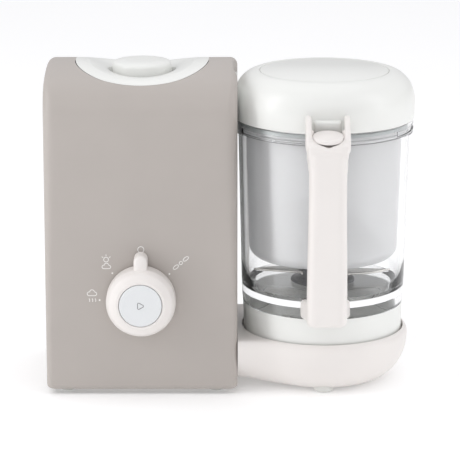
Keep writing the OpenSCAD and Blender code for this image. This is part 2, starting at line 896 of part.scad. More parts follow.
// Grip with an arm at each end; two ears rise beside the thumb button.
module handle() {
    f = grip_front;
    cr = 6;
    color([0.93, 0.91, 0.89])
        difference() {
            union() {
                // grip
                translate([bowl_x, 0, grip_z0]) linear_extrude(grip_z1 - 6 - grip_z0)
                    polygon(concat(
                        arc(-grip_w / 2 + cr, f + cr, cr, 180, 270, 6),
                        arc(grip_w / 2 - cr, f + cr, cr, 270, 360, 6),
                        arc(grip_w / 2 - 3, f + grip_d - 3, 3, 0, 90, 4),
                        arc(-grip_w / 2 + 3, f + grip_d - 3, 3, 90, 180, 4)));
                // head, with an arm to the rim band
                extrude_x(bowl_x - grip_w / 2, bowl_x + grip_w / 2)
                    intersection() {
                        ear_profile();
                        translate([f - 1, 188]) square([60, 60]);
                    }
                // ears
                extrude_x(bowl_x - ear_w / 2, bowl_x + ear_w / 2)
                    intersection() {
                        ear_profile();
                        translate([f + 3, 210]) square([60, 60]);
                    }
                // lower arm to the collar
                extrude_x(bowl_x - 13, bowl_x + 13)
                    polygon([[f + 4, grip_z0], [bowl_y - 61, 65.5],
                             [bowl_y - 61, 79], [f + grip_d + 6, 83],
                             [f + grip_d, 90], [f + 4, 90]]);
            }
            // hollow of the lower arm's end follows the bowl
            at_bowl() disc(glass_low_r + side_gap, 50, floor_z0);
            handle_screw_places() { disc(2.8, 60, 70.4); disc(1.5, 70, 78.4); }
            at_bowl() disc(glass_r(90) + side_gap, floor_z0 - 1, 92);
            at_bowl() disc(rim_r + side_gap, 190, lid_z0);
            // space between the ears, behind the button
            block([bowl_x - ear_w / 2 + ear_t, f + 17.5, 214.2],
                  [bowl_x + ear_w / 2 - ear_t, bowl_y - rim_r + 3, ear_top + 5]);
            at_bowl() disc(lid_r + 1.2, lid_z0 - 0.6, 260);
            // pocket of the thumb button
            thumb_axis() {
                translate([0, 0, -4.2]) cylinder(r = pad_r + gap, h = 40);
                translate([0, 0, -18]) cylinder(r = 5.4, h = 30);
            }
        }
}

// Places its children on the button's slanting axis, +Z out of the pad.
module thumb_axis() {
    translate([bowl_x, grip_front + 12.4, pad_z]) rotate([pad_tilt, 0, 0]) children();
}

module latch_button() {
    color([0.92, 0.90, 0.88])
        thumb_axis()
            difference() {
                union() {
                    translate([0, 0, -1.4]) cylinder(r = pad_r, h = 2.6);
                    translate([0, 0, 1.1]) cylinder(r1 = pad_r, r2 = pad_r - 1.2, h = 1);
                    translate([0, 0, -8]) cylinder(r = 5, h = 8);
                }
                translate([0, 0, -9]) cylinder(r = 3.6, h = 6);
            }
}

module latch_spring() {
    color([0.7, 0.7, 0.7])
        thumb_axis()
            translate([0, 0, -17.9])
                difference() {
                    cylinder(r = 3.4, h = 14.8);
                    translate([0, 0, -eps]) cylinder(r = 2.6, h = 17);
                }
}

// Fixing screws, set into the lower arm from below.
module handle_screw_places() {
    for (x = [-8, 8]) translate([bowl_x + x, bowl_y - 76, 0]) children();
}

module handle_screws() {
    color([0.65, 0.65, 0.67])
        handle_screw_places() {
            disc(2.6, 68.2, 70.2);
            disc(1.4, 70, 78);
        }
}

// ------------------------------------------------------------------ lid

// Outside of the lid: flat top, long round shoulder, slight draft below.
function lid_curve(inset, steps) =
    [for (i = [0:steps])
        let(t = 90 * i / steps, a = lid_r - lid_disc_r, b = lid_top_z - lid_side_z)
        [lid_disc_r + (a - inset) * pow(sin(t), 0.95), lid_side_z + (b - inset) * pow(cos(t), 0.95)]];

module lid_shell() {
    tab = 10.6;
    color([0.93, 0.94, 0.92])
        difference() {
            union() {
                at_bowl()
                    rotate_extrude($fn = 96)
                        polygon(concat(
                            [[lid_disc_r - 3, lid_top_z - lid_t], [lid_disc_r - 3, lid_top_z - 1.1],
                             [lid_disc_r - 0.3, lid_top_z - 1.1], [lid_disc_r - 0.3, lid_top_z]],
                            lid_curve(0, 14),
                            [[lid_r - 0.5, lid_z0], [lid_r - 0.5 - lid_t, lid_z0]],
                            [for (i = [14:-1:0]) lid_curve(lid_t, 14)[i]]));
                // tab that the handle's ears hold
                difference() {
                    block([bowl_x - tab, bowl_y - lid_r - 7, 217], [bowl_x + tab, bowl_y - lid_r + 3, 227]);
                    at_bowl() disc(lid_r - 2, 200, 240);
                }
            }
            along_x([bowl_x - lid_r - 2, bowl_y, steam_z]) cylinder(r = 4.6, h = 6);
        }
}

module lid_disc() {
    color([0.94, 0.94, 0.93])
        at_bowl()
            union() {
                disc(lid_disc_r - 0.6, lid_top_z - 1, lid_top_z - 0.1);
                disc(lid_disc_r - 3.3, lid_top_z - lid_t, lid_top_z - 0.5);
            }
}

module lid_liner() {
    color([0.88, 0.90, 0.90])
        at_bowl()
            difference() {
                union() {
                    disc(68.6, liner_z, liner_z + 2);
                    ring(66.2, 63.6, 208.8, liner_z + 1);
                    ring(14, 12, 210, liner_z + 1);
                    // steam duct to the middle
                    translate([-60, -6, liner_z + 1.5]) cube([60, 12, 12]);
                }
                translate([-58.5, -4.5, liner_z + 3]) cube([57, 9, 9]);
                along_x([-64, 0, steam_z]) cylinder(r = 4, h = 8);
                disc(5, liner_z - 2, liner_z + 8);
                ring(68, 65, 211, 214);
            }
}

module lid_seal() {
    color([0.75, 0.77, 0.77]) at_bowl() ring(67.2, 65.1, 211.1, 213.9);
}

// --------------------------------------------------------------- basket

module steam_basket() {
    t = basket_t;
    c = basket_corner;
    color([0.86, 0.87, 0.88, 0.7])
        at_bowl()
            difference() {
                rotate_extrude($fn = 96)
                    polygon(concat(
                        [[0, basket_z0 + 4], [22, basket_z0 + 4], [27, basket_z0]],
                        arc(basket_low_r - c, basket_z0 + c, c, 270, 360, 8),
                        [[basket_top_r, ledge_z - 2], [basket_top_r, ledge_z + gap],
                         [flange_r, ledge_z + gap], [flange_r, ledge_z + 2],
                         [basket_top_r - t, ledge_z + 2]],
                        arc(basket_low_r - c, basket_z0 + c, c - t, 360, 270, 8),
                        [[28, basket_z0 + t], [23, basket_z0 + 4 + t], [0, basket_z0 + 4 + t]]));
                for (k = [0:2], i = [0:11 + 6 * k])
                    rotate([0, 0, i * 360 / (12 + 6 * k)])
                        translate([31 + 7 * k, 0, basket_z0 - 2]) cylinder(r = 1.8, h = 8, $fn = 16);
                for (i = [0:5])
                    rotate([0, 0, i * 60]) translate([12, 0, basket_z0]) cylinder(r = 2.4, h = 8, $fn = 16);
            }
}

// Leaf-shaped fin inside the basket, by which it is lifted out.
module lifting_fin() {
    color([0.80, 0.81, 0.82, 0.8])
        difference() {
            extrude_y(bowl_y - 13, bowl_y - 10.8)
                translate([bowl_x, 0])
                    polygon([
                        [-37, 144.8], [-24, 148], [-12, 151], [0, 150], [12, 144], [24, 136.5],
                        [36, 127], [45, 118], [47, 112.5], [40, 107], [24, 103.8], [-24, 103.8],
                        [-16, 118], [-18, 130], [-24, 137], [-37, 143.4]]);
            // the basket's raised middle
            at_bowl() disc(28.5, 100, basket_z0 + 4 + basket_t + side_gap);
        }
}

// ---------------------------------------------------------------- blade

module blade_shaft() {
    color([0.75, 0.75, 0.77]) at_bowl() disc(shaft_r, shaft_z0, shaft_z1);
}

module blade_hub() {
    color([0.30, 0.31, 0.32])
        at_bowl()
            difference() {
                rotate_extrude()
                    polygon(concat(
                        [[0, 78.2], [24, 78.2], [26, 79.4], [25.6, 81.4]],
                        [for (t = [0:15:75]) [19 + 6 * (1 - sin(t)), 82 + 5 * (1 - cos(t))]],
                        [[19, 88]],
                        arc(17, 96.4, 2, 0, 90, 4),
                        [[0, 98.8]]));
                block([-30, -10.2, 85.2], [30, 10.2, 90.8]);
                disc(boss_r + gap, 77, boss_z1 + 2.4);
                disc(shaft_r + fit, 70, shaft_z1 + gap);
            }
}

// One sickle-shaped blade, from the hub outwards.
module blade(tilt) {
    n = 10;
    rotate([0, -tilt, 0])
        linear_extrude(1.8)
            polygon(concat(
                [for (i = [0:n]) let(s = i / n)
                    [15 + (blade_tip_r - 15) * s, -8 + 16 * pow(s, 2.2)]],
                [for (i = [n:-1:0]) let(s = i / n)
                    [15 + (blade_tip_r - 15) * s - 2 * s, 9 - 1 * s + 3 * s * (1 - s)]]));
}

module blades() {
    color([0.72, 0.71, 0.68])
        at_bowl()
            difference() {
                union() {
                    translate([0, 0, 86.2]) blade(-1);
                    translate([0, 0, 87]) rotate([0, 0, 180]) blade(3);
                    block([-17.5, -9.6, 86.6], [17.5, 9.6, 88.4]);
                }
                disc(shaft_r + fit, 80, 95);
            }
}

tower_shell();
rear_shell();
top_saddle();
tank_cap();
cap_plug();
cap_seal();
water_tank();
heater_plate();
heater_ring();
thermal_cutout();
steam_tube();
steam_nozzle();
flank_panel();
chassis();
control_board();
rotary_switch();
cord_gland();
knob();
knob_shaft();
start_button();
button_spring();
motor_can();
motor_shaft();
motor_fan();
motor_pulley();
motor_screws();
drive_belt();
driven_pulley();
drive_spindle();
spindle_bearings();
drive_dog();
base_body();
seat_cover();
tower_cover();
cover_screws();
feet();
bowl_glass();
bowl_collar();
shaft_bush();
shaft_seal();
handle();
handle_screws();
latch_button();
latch_spring();
lid_shell();
lid_disc();
lid_liner();
lid_seal();
steam_basket();
lifting_fin();
blade_shaft();
bowl_dog();
blade_hub();
blades();
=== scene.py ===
import json
import math

import bmesh
import bpy
from mathutils import Matrix, Vector


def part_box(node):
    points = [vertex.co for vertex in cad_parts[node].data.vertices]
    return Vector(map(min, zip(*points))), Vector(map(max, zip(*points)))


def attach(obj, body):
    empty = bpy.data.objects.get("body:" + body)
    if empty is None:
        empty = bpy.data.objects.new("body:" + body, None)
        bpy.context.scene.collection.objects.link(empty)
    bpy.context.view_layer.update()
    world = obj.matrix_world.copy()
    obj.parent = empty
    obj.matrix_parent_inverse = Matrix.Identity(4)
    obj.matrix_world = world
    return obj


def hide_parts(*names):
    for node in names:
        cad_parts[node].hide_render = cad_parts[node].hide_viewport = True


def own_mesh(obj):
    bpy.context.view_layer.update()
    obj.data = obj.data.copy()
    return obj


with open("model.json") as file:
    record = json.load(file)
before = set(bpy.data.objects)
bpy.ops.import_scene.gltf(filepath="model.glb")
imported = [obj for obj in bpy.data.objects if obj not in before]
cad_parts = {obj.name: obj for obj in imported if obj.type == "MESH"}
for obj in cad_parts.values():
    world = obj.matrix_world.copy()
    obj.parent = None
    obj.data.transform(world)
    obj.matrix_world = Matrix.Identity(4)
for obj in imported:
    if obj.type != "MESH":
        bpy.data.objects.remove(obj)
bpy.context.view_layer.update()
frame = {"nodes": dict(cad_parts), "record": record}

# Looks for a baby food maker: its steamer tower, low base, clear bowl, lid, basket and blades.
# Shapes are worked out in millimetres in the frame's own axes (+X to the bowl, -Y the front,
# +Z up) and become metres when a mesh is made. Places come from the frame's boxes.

MM = 0.001
scene = bpy.context.scene


def node_box(node):
    low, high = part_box(node)
    return low / MM, high / MM


# ------------------------------------------------------------------ places

tower_low, tower_high = node_box("tower_shell")
tower_high = Vector((tower_high.x, node_box("rear_shell")[1].y, tower_high.z))
TOWER = (tower_low + tower_high) / 2
TOWER_HALF_W = (tower_high.x - tower_low.x) / 2
TOWER_HALF_D = (tower_high.y - tower_low.y) / 2
TOWER_BOTTOM = tower_low.z
disc_low, disc_high = node_box("lid_disc")
BOWL = (disc_low + disc_high) / 2
BOWL_AXIS = Vector((BOWL.x, BOWL.y, 0))
lid_low, lid_high = node_box("lid_shell")
cap_low, cap_high = node_box("tank_cap")
knob_low, knob_high = node_box("knob")
button_low, button_high = node_box("start_button")
KNOB = (button_low + button_high) / 2
handle_low, handle_high = node_box("handle")
FACING = Matrix.Rotation(math.pi / 2, 3, "X")

# ------------------------------------------------------------------ camera

CAMERA_DISTANCE = 2.1
CAMERA_ELEVATION = math.radians(14.2)
CAMERA_LENS = 203.8
CAMERA_RAISE = 4.4 / 460
AIM = Vector((-0.0006, BOWL.y * MM, 0.125))


def make_camera():
    data = bpy.data.cameras.new("camera")
    data.lens = CAMERA_LENS
    data.sensor_width = 36
    data.shift_y = -CAMERA_RAISE
    data.clip_end = 50
    camera = bpy.data.objects.new("camera", data)
    scene.collection.objects.link(camera)
    back = Vector((0, -math.cos(CAMERA_ELEVATION), math.sin(CAMERA_ELEVATION)))
    camera.location = AIM + back * CAMERA_DISTANCE
    camera.rotation_euler = (math.pi / 2 - CAMERA_ELEVATION, 0, 0)
    scene.camera = camera


make_camera()

# --------------------------------------------------------------- materials


def new_material(name):
    material = bpy.data.materials.new(name)
    material.use_nodes = True
    nodes, links = material.node_tree.nodes, material.node_tree.links
    return material, nodes, links, nodes["Principled BSDF"]


def add_node(nodes, kind, **values):
    node = nodes.new(kind)
    for key, value in values.items():
        if hasattr(node, key):
            setattr(node, key, value)
        else:
            node.inputs[key.replace("_", " ")].default_value = value
    return node


def object_coordinates(nodes, links, stretch=(1, 1, 1)):
    """Object-space coordinates in millimetres, stretched along an axis where a finish has a direction."""
    place = nodes.new("ShaderNodeTexCoord")
    mapping = nodes.new("ShaderNodeMapping")
    mapping.inputs["Scale"].default_value = [s / MM for s in stretch]
    links.new(place.outputs["Object"], mapping.inputs["Vector"])
    return mapping.outputs["Vector"]


def mottled_colour(nodes, links, shader, where, colour, change, scale):
    """Gives the base colour a slow, faint change of tone, as moulded parts have."""
    cloud = add_node(nodes, "ShaderNodeTexNoise", Scale=scale, Detail=3.0)
    links.new(where, cloud.inputs["Vector"])
    ramp = nodes.new("ShaderNodeValToRGB")
    ramp.color_ramp.elements[0].position = 0.3
    ramp.color_ramp.elements[0].color = [c * (1 - change) for c in colour] + [1]
    ramp.color_ramp.elements[1].position = 0.7
    ramp.color_ramp.elements[1].color = [min(c * (1 + change), 1) for c in colour] + [1]
    links.new(cloud.outputs["Fac"], ramp.inputs["Fac"])
    links.new(ramp.outputs["Color"], shader.inputs["Base Color"])


def ranged_roughness(nodes, links, shader, where, low, high, scale):
    """Roughness that drifts between two values, so that gloss isn't perfectly even."""
    cloud = add_node(nodes, "ShaderNodeTexNoise", Scale=scale, Detail=2.0)
    links.new(where, cloud.inputs["Vector"])
    span = nodes.new("ShaderNodeMapRange")
    span.inputs["To Min"].default_value = low
    span.inputs["To Max"].default_value = high
    links.new(cloud.outputs["Fac"], span.inputs["Value"])
    links.new(span.outputs["Result"], shader.inputs["Roughness"])


def grain_bump(nodes, links, shader, where, scale, depth_mm, detail=2.0):
    """Fine relief: spark-eroded grain on plastic, or strokes where the coordinates are stretched."""
    grain = add_node(nodes, "ShaderNodeTexNoise", Scale=scale, Detail=detail)
    links.new(where, grain.inputs["Vector"])
    bump = nodes.new("ShaderNodeBump")
    bump.inputs["Distance"].default_value = depth_mm * MM
    bump.inputs["Strength"].default_value = 1.0
    links.new(grain.outputs["Fac"], bump.inputs["Height"])
    links.new(bump.outputs["Normal"], shader.inputs["Normal"])


def plastic(name, colour, roughness, change=0.012, grain=4.0, depth_mm=0.004, coat=0.0, sheen=0.0):
    material, nodes, links, shader = new_material(name)
    where = object_coordinates(nodes, links)
    mottled_colour(nodes, links, shader, where, colour, change, 0.03)
    ranged_roughness(nodes, links, shader, where, roughness - 0.04, roughness + 0.04, 0.06)
    grain_bump(nodes, links, shader, where, grain, depth_mm)
    shader.inputs["IOR"].default_value = 1.5
    shader.inputs["Coat Weight"].default_value = coat
    shader.inputs["Coat Roughness"].default_value = 0.25
    shader.inputs["Sheen Weight"].default_value = sheen
    return material


def metal(name, colour, roughness, stretch):
    material, nodes, links, shader = new_material(name)
    where = object_coordinates(nodes, links, stretch)
    mottled_colour(nodes, links, shader, where, colour, 0.05, 0.5)
    ranged_roughness(nodes, links, shader, where, roughness - 0.08, roughness + 0.08, 0.8)
    grain_bump(nodes, links, shader, where, 1.5, 0.006, 4.0)
    shader.inputs["Metallic"].default_value = 1.0
    return material


def clear_plastic(name, colour, roughness):
    material, nodes, links, shader = new_material(name)
    where = object_coordinates(nodes, links)
    mottled_colour(nodes, links, shader, where, colour, 0.006, 0.02)
    ranged_roughness(nodes, links, shader, where, roughness, roughness + 0.015, 0.05)
    grain_bump(nodes, links, shader, where, 0.05, 0.01)
    shader.inputs["Transmission Weight"].default_value = 1.0
    shader.inputs["IOR"].default_value = 1.45
    # lamps shine through, as they do through clear plastic
    rays = nodes.new("ShaderNodeLightPath")
    mix_with_clear(nodes, links, shader.outputs["BSDF"], rays.outputs["Is Shadow Ray"])
    return material


def mix_with_clear(nodes, links, surface, share):
    """Mixes a surface with plain clearness, by a number or a socket."""
    mix = nodes.new("ShaderNodeMixShader")
    clear = nodes.new("ShaderNodeBsdfTransparent")
    if isinstance(share, float):
        mix.inputs["Fac"].default_value = share
    else:
        links.new(share, mix.inputs["Fac"])
    links.new(surface, mix.inputs[1])
    links.new(clear.outputs["BSDF"], mix.inputs[2])
    links.new(mix.outputs["Shader"], nodes["Material Output"].inputs["Surface"])


def frosted_plastic(name, colour, see_through):
    """Milky plastic: it scatters light through to its other side, and dimly shows what is behind it."""
    material, nodes, links, shader = new_material(name)
    where = object_coordinates(nodes, links)
    mottled_colour(nodes, links, shader, where, colour, 0.01, 0.03)
    ranged_roughness(nodes, links, shader, where, 0.40, 0.52, 0.05)
    grain_bump(nodes, links, shader, where, 2.0, 0.01)
    milk = nodes.new("ShaderNodeBsdfTranslucent")
    milk.inputs["Color"].default_value = [*colour, 1]
    blend = nodes.new("ShaderNodeMixShader")
    blend.inputs["Fac"].default_value = 0.4
    links.new(shader.outputs["BSDF"], blend.inputs[1])
    links.new(milk.outputs["BSDF"], blend.inputs[2])
    mix_with_clear(nodes, links, blend.outputs["Shader"], see_through)
    return material


def circuit_board(name):
    """Green solder mask with paler copper tracks under it."""
    material, nodes, links, shader = new_material(name)
    where = object_coordinates(nodes, links)
    tracks = add_node(nodes, "ShaderNodeTexBrick", Scale=0.18)
    tracks.inputs["Color1"].default_value = (0.02, 0.20, 0.09, 1)
    tracks.inputs["Color2"].default_value = (0.03, 0.24, 0.11, 1)
    tracks.inputs["Mortar"].default_value = (0.10, 0.36, 0.16, 1)
    tracks.inputs["Mortar Size"].default_value = 0.03
    links.new(where, tracks.inputs["Vector"])
    links.new(tracks.outputs["Color"], shader.inputs["Base Color"])
    ranged_roughness(nodes, links, shader, where, 0.25, 0.4, 0.4)
    grain_bump(nodes, links, shader, where, 1.0, 0.01)
    return material


SHELL_GREY = (0.445, 0.408, 0.380)
WARM_WHITE = (0.80, 0.765, 0.74)
COOL_WHITE = (0.80, 0.805, 0.78)
looks = {
    "shell_grey": plastic("shell_grey", SHELL_GREY, 0.42, 0.012, 4.0, 0.006, sheen=0.05),
    "warm_white": plastic("warm_white", WARM_WHITE, 0.40, 0.010, 5.0, 0.003, coat=0.08),
    "cool_white": plastic("cool_white", COOL_WHITE, 0.34, 0.008, 5.0, 0.003, coat=0.12),
    "clear": clear_plastic("clear", (0.992, 0.995, 0.996), 0.0),
    "frosted": frosted_plastic("frosted", (0.97, 0.97, 0.975), 0.36),
    # the dark milky grey is also laid on the lifting fin as painted shade, for the darker wedge seen inside
    # the basket
    "milky_grey": frosted_plastic("milky_grey", (0.30, 0.30, 0.31), 0.0),
    "button_grey": plastic("button_grey", (0.74, 0.755, 0.765), 0.36, 0.008, 5.0, 0.002),
    "dark_plastic": plastic("dark_plastic", (0.045, 0.047, 0.05), 0.42, 0.05, 3.0, 0.01),
    "steel": metal("steel", (0.62, 0.60, 0.57), 0.28, (1, 6, 6)),
    "inner_grey": plastic("inner_grey", (0.12, 0.13, 0.14), 0.6, 0.04, 2.0, 0.02),
    "motor_steel": metal("motor_steel", (0.50, 0.50, 0.52), 0.42, (2, 2, 0.3)),
    "board_green": circuit_board("board_green"),
    "bush_bronze": metal("bush_bronze", (0.62, 0.44, 0.22), 0.45, (2, 2, 2)),
    "soft_rubber": plastic("soft_rubber", (0.72, 0.72, 0.69), 0.62, 0.02, 3.0, 0.01),
    "seal": plastic("seal", (0.50, 0.53, 0.53), 0.55, 0.02, 2.0, 0.01),
    "belt_rubber": plastic("belt_rubber", (0.02, 0.02, 0.02), 0.75, 0.1, 2.0, 0.03),
}
print_white = plastic("print_white", (0.80, 0.79, 0.77), 0.5, 0.02, 6.0, 0.002)
print_grey = plastic("print_grey", (0.22, 0.22, 0.225), 0.5, 0.02, 6.0, 0.002)

# ------------------------------------------------------------ mesh helpers


def fillet(corners, steps=6, closed=False):
    """A path of (a, b, radius) corners as points, with each corner rounded by an arc of its radius."""
    points = []
    count = len(corners)
    for i, (a, b, radius) in enumerate(corners):
        here = Vector((a, b))
        if radius <= 0 or (not closed and i in (0, count - 1)):
            points.append(here)
            continue
        before = Vector(corners[i - 1][:2]) - here
        after = Vector(corners[(i + 1) % count][:2]) - here
        turn = before.angle(after)
        reach = min(radius / math.tan(turn / 2), 0.49 * before.length, 0.49 * after.length)
        bend = reach * math.tan(turn / 2)
        centre = here + (before.normalized() + after.normalized()).normalized() * bend / math.sin(turn / 2)
        start = here + before.normalized() * reach - centre
        end = here + after.normalized() * reach - centre
        sweep = start.angle_signed(end)
        for k in range(steps + 1):
            spin = Matrix.Rotation(-sweep * k / steps, 2)
            points.append(centre + spin @ start)
    return points


def arc(centre_a, centre_b, radius, start, end, steps):
    """Points of an arc, angles in degrees."""
    angles = [math.radians(start + (end - start) * k / steps) for k in range(steps + 1)]
    return [(centre_a + radius * math.cos(t), centre_b + radius * math.sin(t)) for t in angles]


def smoothstep(low, high, value):
    t = min(max((value - low) / (high - low), 0), 1)
    return t * t * (3 - 2 * t)


def add_loft(bm, rings, wrap=True, loop=False, cap_first=False, cap_last=False):
    """Skins rings of points, where a ring of one point is a pole.

    wrap joins each ring's ends, and loop joins the last ring to the first.
    """
    rows = [[bm.verts.new(p) for p in ring] for ring in rings]
    pairs = list(zip(rows, rows[1:]))
    if loop:
        pairs.append((rows[-1], rows[0]))
    for one, two in pairs:
        count = max(len(one), len(two))
        for i in range(count if wrap else count - 1):
            j = (i + 1) % count
            corners = [one[i % len(one)], one[j % len(one)], two[j % len(two)], two[i % len(two)]]
            corners = [c for k, c in enumerate(corners) if c not in corners[:k]]
            if len(corners) > 2:
                bm.faces.new(corners)
    if cap_first:
        bm.faces.new(rows[0])
    if cap_last:
        bm.faces.new(reversed(rows[-1]))
    return rows


def add_turned(bm, profile, axis, steps=128, loop=True, turn=None):
    """Turns a profile of (radius, height) round an upright axis, or one that turn has tilted."""
    rings = []
    for radius, height in profile:
        if radius < 1e-6:
            ring = [Vector((0, 0, height))]
        else:
            angles = [2 * math.pi * k / steps for k in range(steps)]
            ring = [Vector((radius * math.cos(t), radius * math.sin(t), height)) for t in angles]
        rings.append([(turn @ p if turn else p) + axis for p in ring])
    return add_loft(bm, rings, loop=loop)


def add_box(bm, low, high):
    x0, y0, z0 = low
    x1, y1, z1 = high
    rings = [[(x0, y0, z), (x1, y0, z), (x1, y1, z), (x0, y1, z)] for z in (z0, z1)]
    add_loft(bm, rings, cap_first=True, cap_last=True)


def add_tube(bm, path, radius, sides=8):
    """A round rod along a path, closed at both ends."""
    rings = []
    side = Vector((0, 0, 1))
    for i, point in enumerate(path):
        along = (path[min(i + 1, len(path) - 1)] - path[max(i - 1, 0)]).normalized()
        side = (side - along * side.dot(along)).normalized()
        other = along.cross(side)
        angles = [2 * math.pi * k / sides for k in range(sides)]
        rings.append([point + radius * (math.cos(t) * side + math.sin(t) * other) for t in angles])
    add_loft(bm, rings, cap_first=True, cap_last=True)


def turned_piece(name, profile, axis, steps=128, loop=True, turn=None, sharp=35):
    bm = bmesh.new()
    add_turned(bm, profile, axis, steps, loop, turn)
    return make_piece(name, bm, sharp)


def make_piece(name, bm, sharp=35):
    """Turns millimetre geometry into a linked object, with creases kept where faces meet sharply."""
    bmesh.ops.remove_doubles(bm, verts=bm.verts, dist=1e-5)
    bmesh.ops.recalc_face_normals(bm, faces=bm.faces)
    bmesh.ops.scale(bm, vec=(MM, MM, MM), verts=bm.verts)
    mesh = bpy.data.meshes.new(name)
    bm.to_mesh(mesh)
    bm.free()
    piece = bpy.data.objects.new(name, mesh)
    scene.collection.objects.link(piece)
    shade(piece, sharp)
    return piece


def shade(piece, sharp, weighted=False):
    piece.data.shade_smooth()
    piece.data.set_sharp_from_angle(angle=math.radians(sharp))
    if weighted:
        modifier = piece.modifiers.new("flat_faces", "WEIGHTED_NORMAL")
        modifier.keep_sharp = True


def bake_modifiers(piece):
    """Applies the piece's modifiers to its mesh."""
    seen = piece.evaluated_get(bpy.context.evaluated_depsgraph_get())
    mesh = bpy.data.meshes.new_from_object(seen)
    piece.modifiers.clear()
    piece.data = mesh


def cut(piece, cutter):
    """Takes the cutter's shape out of the piece."""
    modifier = piece.modifiers.new("cut", "BOOLEAN")
    modifier.operation = "DIFFERENCE"
    modifier.solver = "EXACT"
    modifier.object = cutter
    bpy.context.view_layer.update()
    bake_modifiers(piece)
    bpy.data.objects.remove(cutter)


def melt_together(piece, voxel_mm, rounds):
    """Joins overlapping closed shapes into one skin, with softened meeting lines like moulded fillets."""
    remesh = piece.modifiers.new("join", "REMESH")
    remesh.mode = "VOXEL"
    remesh.voxel_size = voxel_mm * MM
    smooth = piece.modifiers.new("soften", "SMOOTH")
    smooth.factor = 0.5
    smooth.iterations = rounds
    bpy.context.view_layer.update()
    bake_modifiers(piece)


def finish_piece(piece, look, body, *stands_for, material=None):
    piece.data.materials.clear()
    piece.data.materials.append(material or looks[look])
    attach(piece, body)
    if stands_for:
        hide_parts(*stands_for)
    return piece


# ------------------------------------------------------------------- tower

SHOULDER_R = 28.0
CROWN_R = 160.0
TOWER_TOP = tower_high.z
CROWN_Z = TOWER_TOP - CROWN_R
SHOULDER_Y = TOWER_HALF_D - SHOULDER_R
SHOULDER_Z = CROWN_Z + math.sqrt((CROWN_R - SHOULDER_R) ** 2 - SHOULDER_Y ** 2)
SHOULDER_ANGLE = math.degrees(math.atan2(SHOULDER_Z - CROWN_Z, SHOULDER_Y))
CHANNEL_R = 137.0
CHANNEL_Z = 252.0
CHANNEL_FALL = 3.4
LIP = 3.4
SEAM = 0.25
SHELL_WALL = 2.4
FOOT_R = 3.5
RECESS_R = 73.5
RECESS_ANGLE = 16.2
BELT_HALF, BELT_ROOF = 34, 36
SLOT_COUNT, SLOT_PITCH, SLOT_WIDTH = 8, 9, 3.5
SLOT_X, SLOT_Z0, SLOT_Z1 = -70, 30, 62


def side_point(u, inset):
    """A point of the tower's side profile: u is 0 at the front's foot, 3 at the crest, 6 at the back."""
    if u > 3:
        y, z = side_point(6 - u, inset)
        return -y, z
    if u <= 1:
        return -(TOWER_HALF_D - inset), TOWER_BOTTOM + (SHOULDER_Z - TOWER_BOTTOM) * u
    if u <= 2:
        t = math.radians(180 - (u - 1) * SHOULDER_ANGLE)
        r = SHOULDER_R - inset
        return -SHOULDER_Y + r * math.cos(t), SHOULDER_Z + r * math.sin(t)
    t = math.radians(180 - SHOULDER_ANGLE - (u - 2) * (90 - SHOULDER_ANGLE))
    r = CROWN_R - inset
    return r * math.cos(t), CROWN_Z + r * math.sin(t)


def top_height(y):
    """Height of the tower's top over a distance from its middle, front to back."""
    y = abs(y)
    if y < CROWN_R * math.cos(math.radians(SHOULDER_ANGLE)):
        return CROWN_Z + math.sqrt(CROWN_R ** 2 - y ** 2)
    return SHOULDER_Z + math.sqrt(max(SHOULDER_R ** 2 - (y - SHOULDER_Y) ** 2, 0))


def channel_height(x, lip, y):
    """Height of the channel across the top, or of the shell's edge below its lip, falling to the back."""
    r = CHANNEL_R + lip
    return CHANNEL_Z + CHANNEL_R - math.sqrt(r ** 2 - x ** 2) - CHANNEL_FALL * smoothstep(-5, 40, y)


def bisect(test, low, high, rounds=40):
    """Where test turns from false to true between low and high."""
    for _ in range(rounds):
        middle = (low + high) / 2
        if test(middle):
            high = middle
        else:
            low = middle
    return (low + high) / 2


def edge_radius(z):
    """The side edges are fuller towards the top, and tighter again over the crest."""
    return 5.5 + 3.5 * smoothstep(60, 225, z) - 3.2 * smoothstep(232, 256, z)


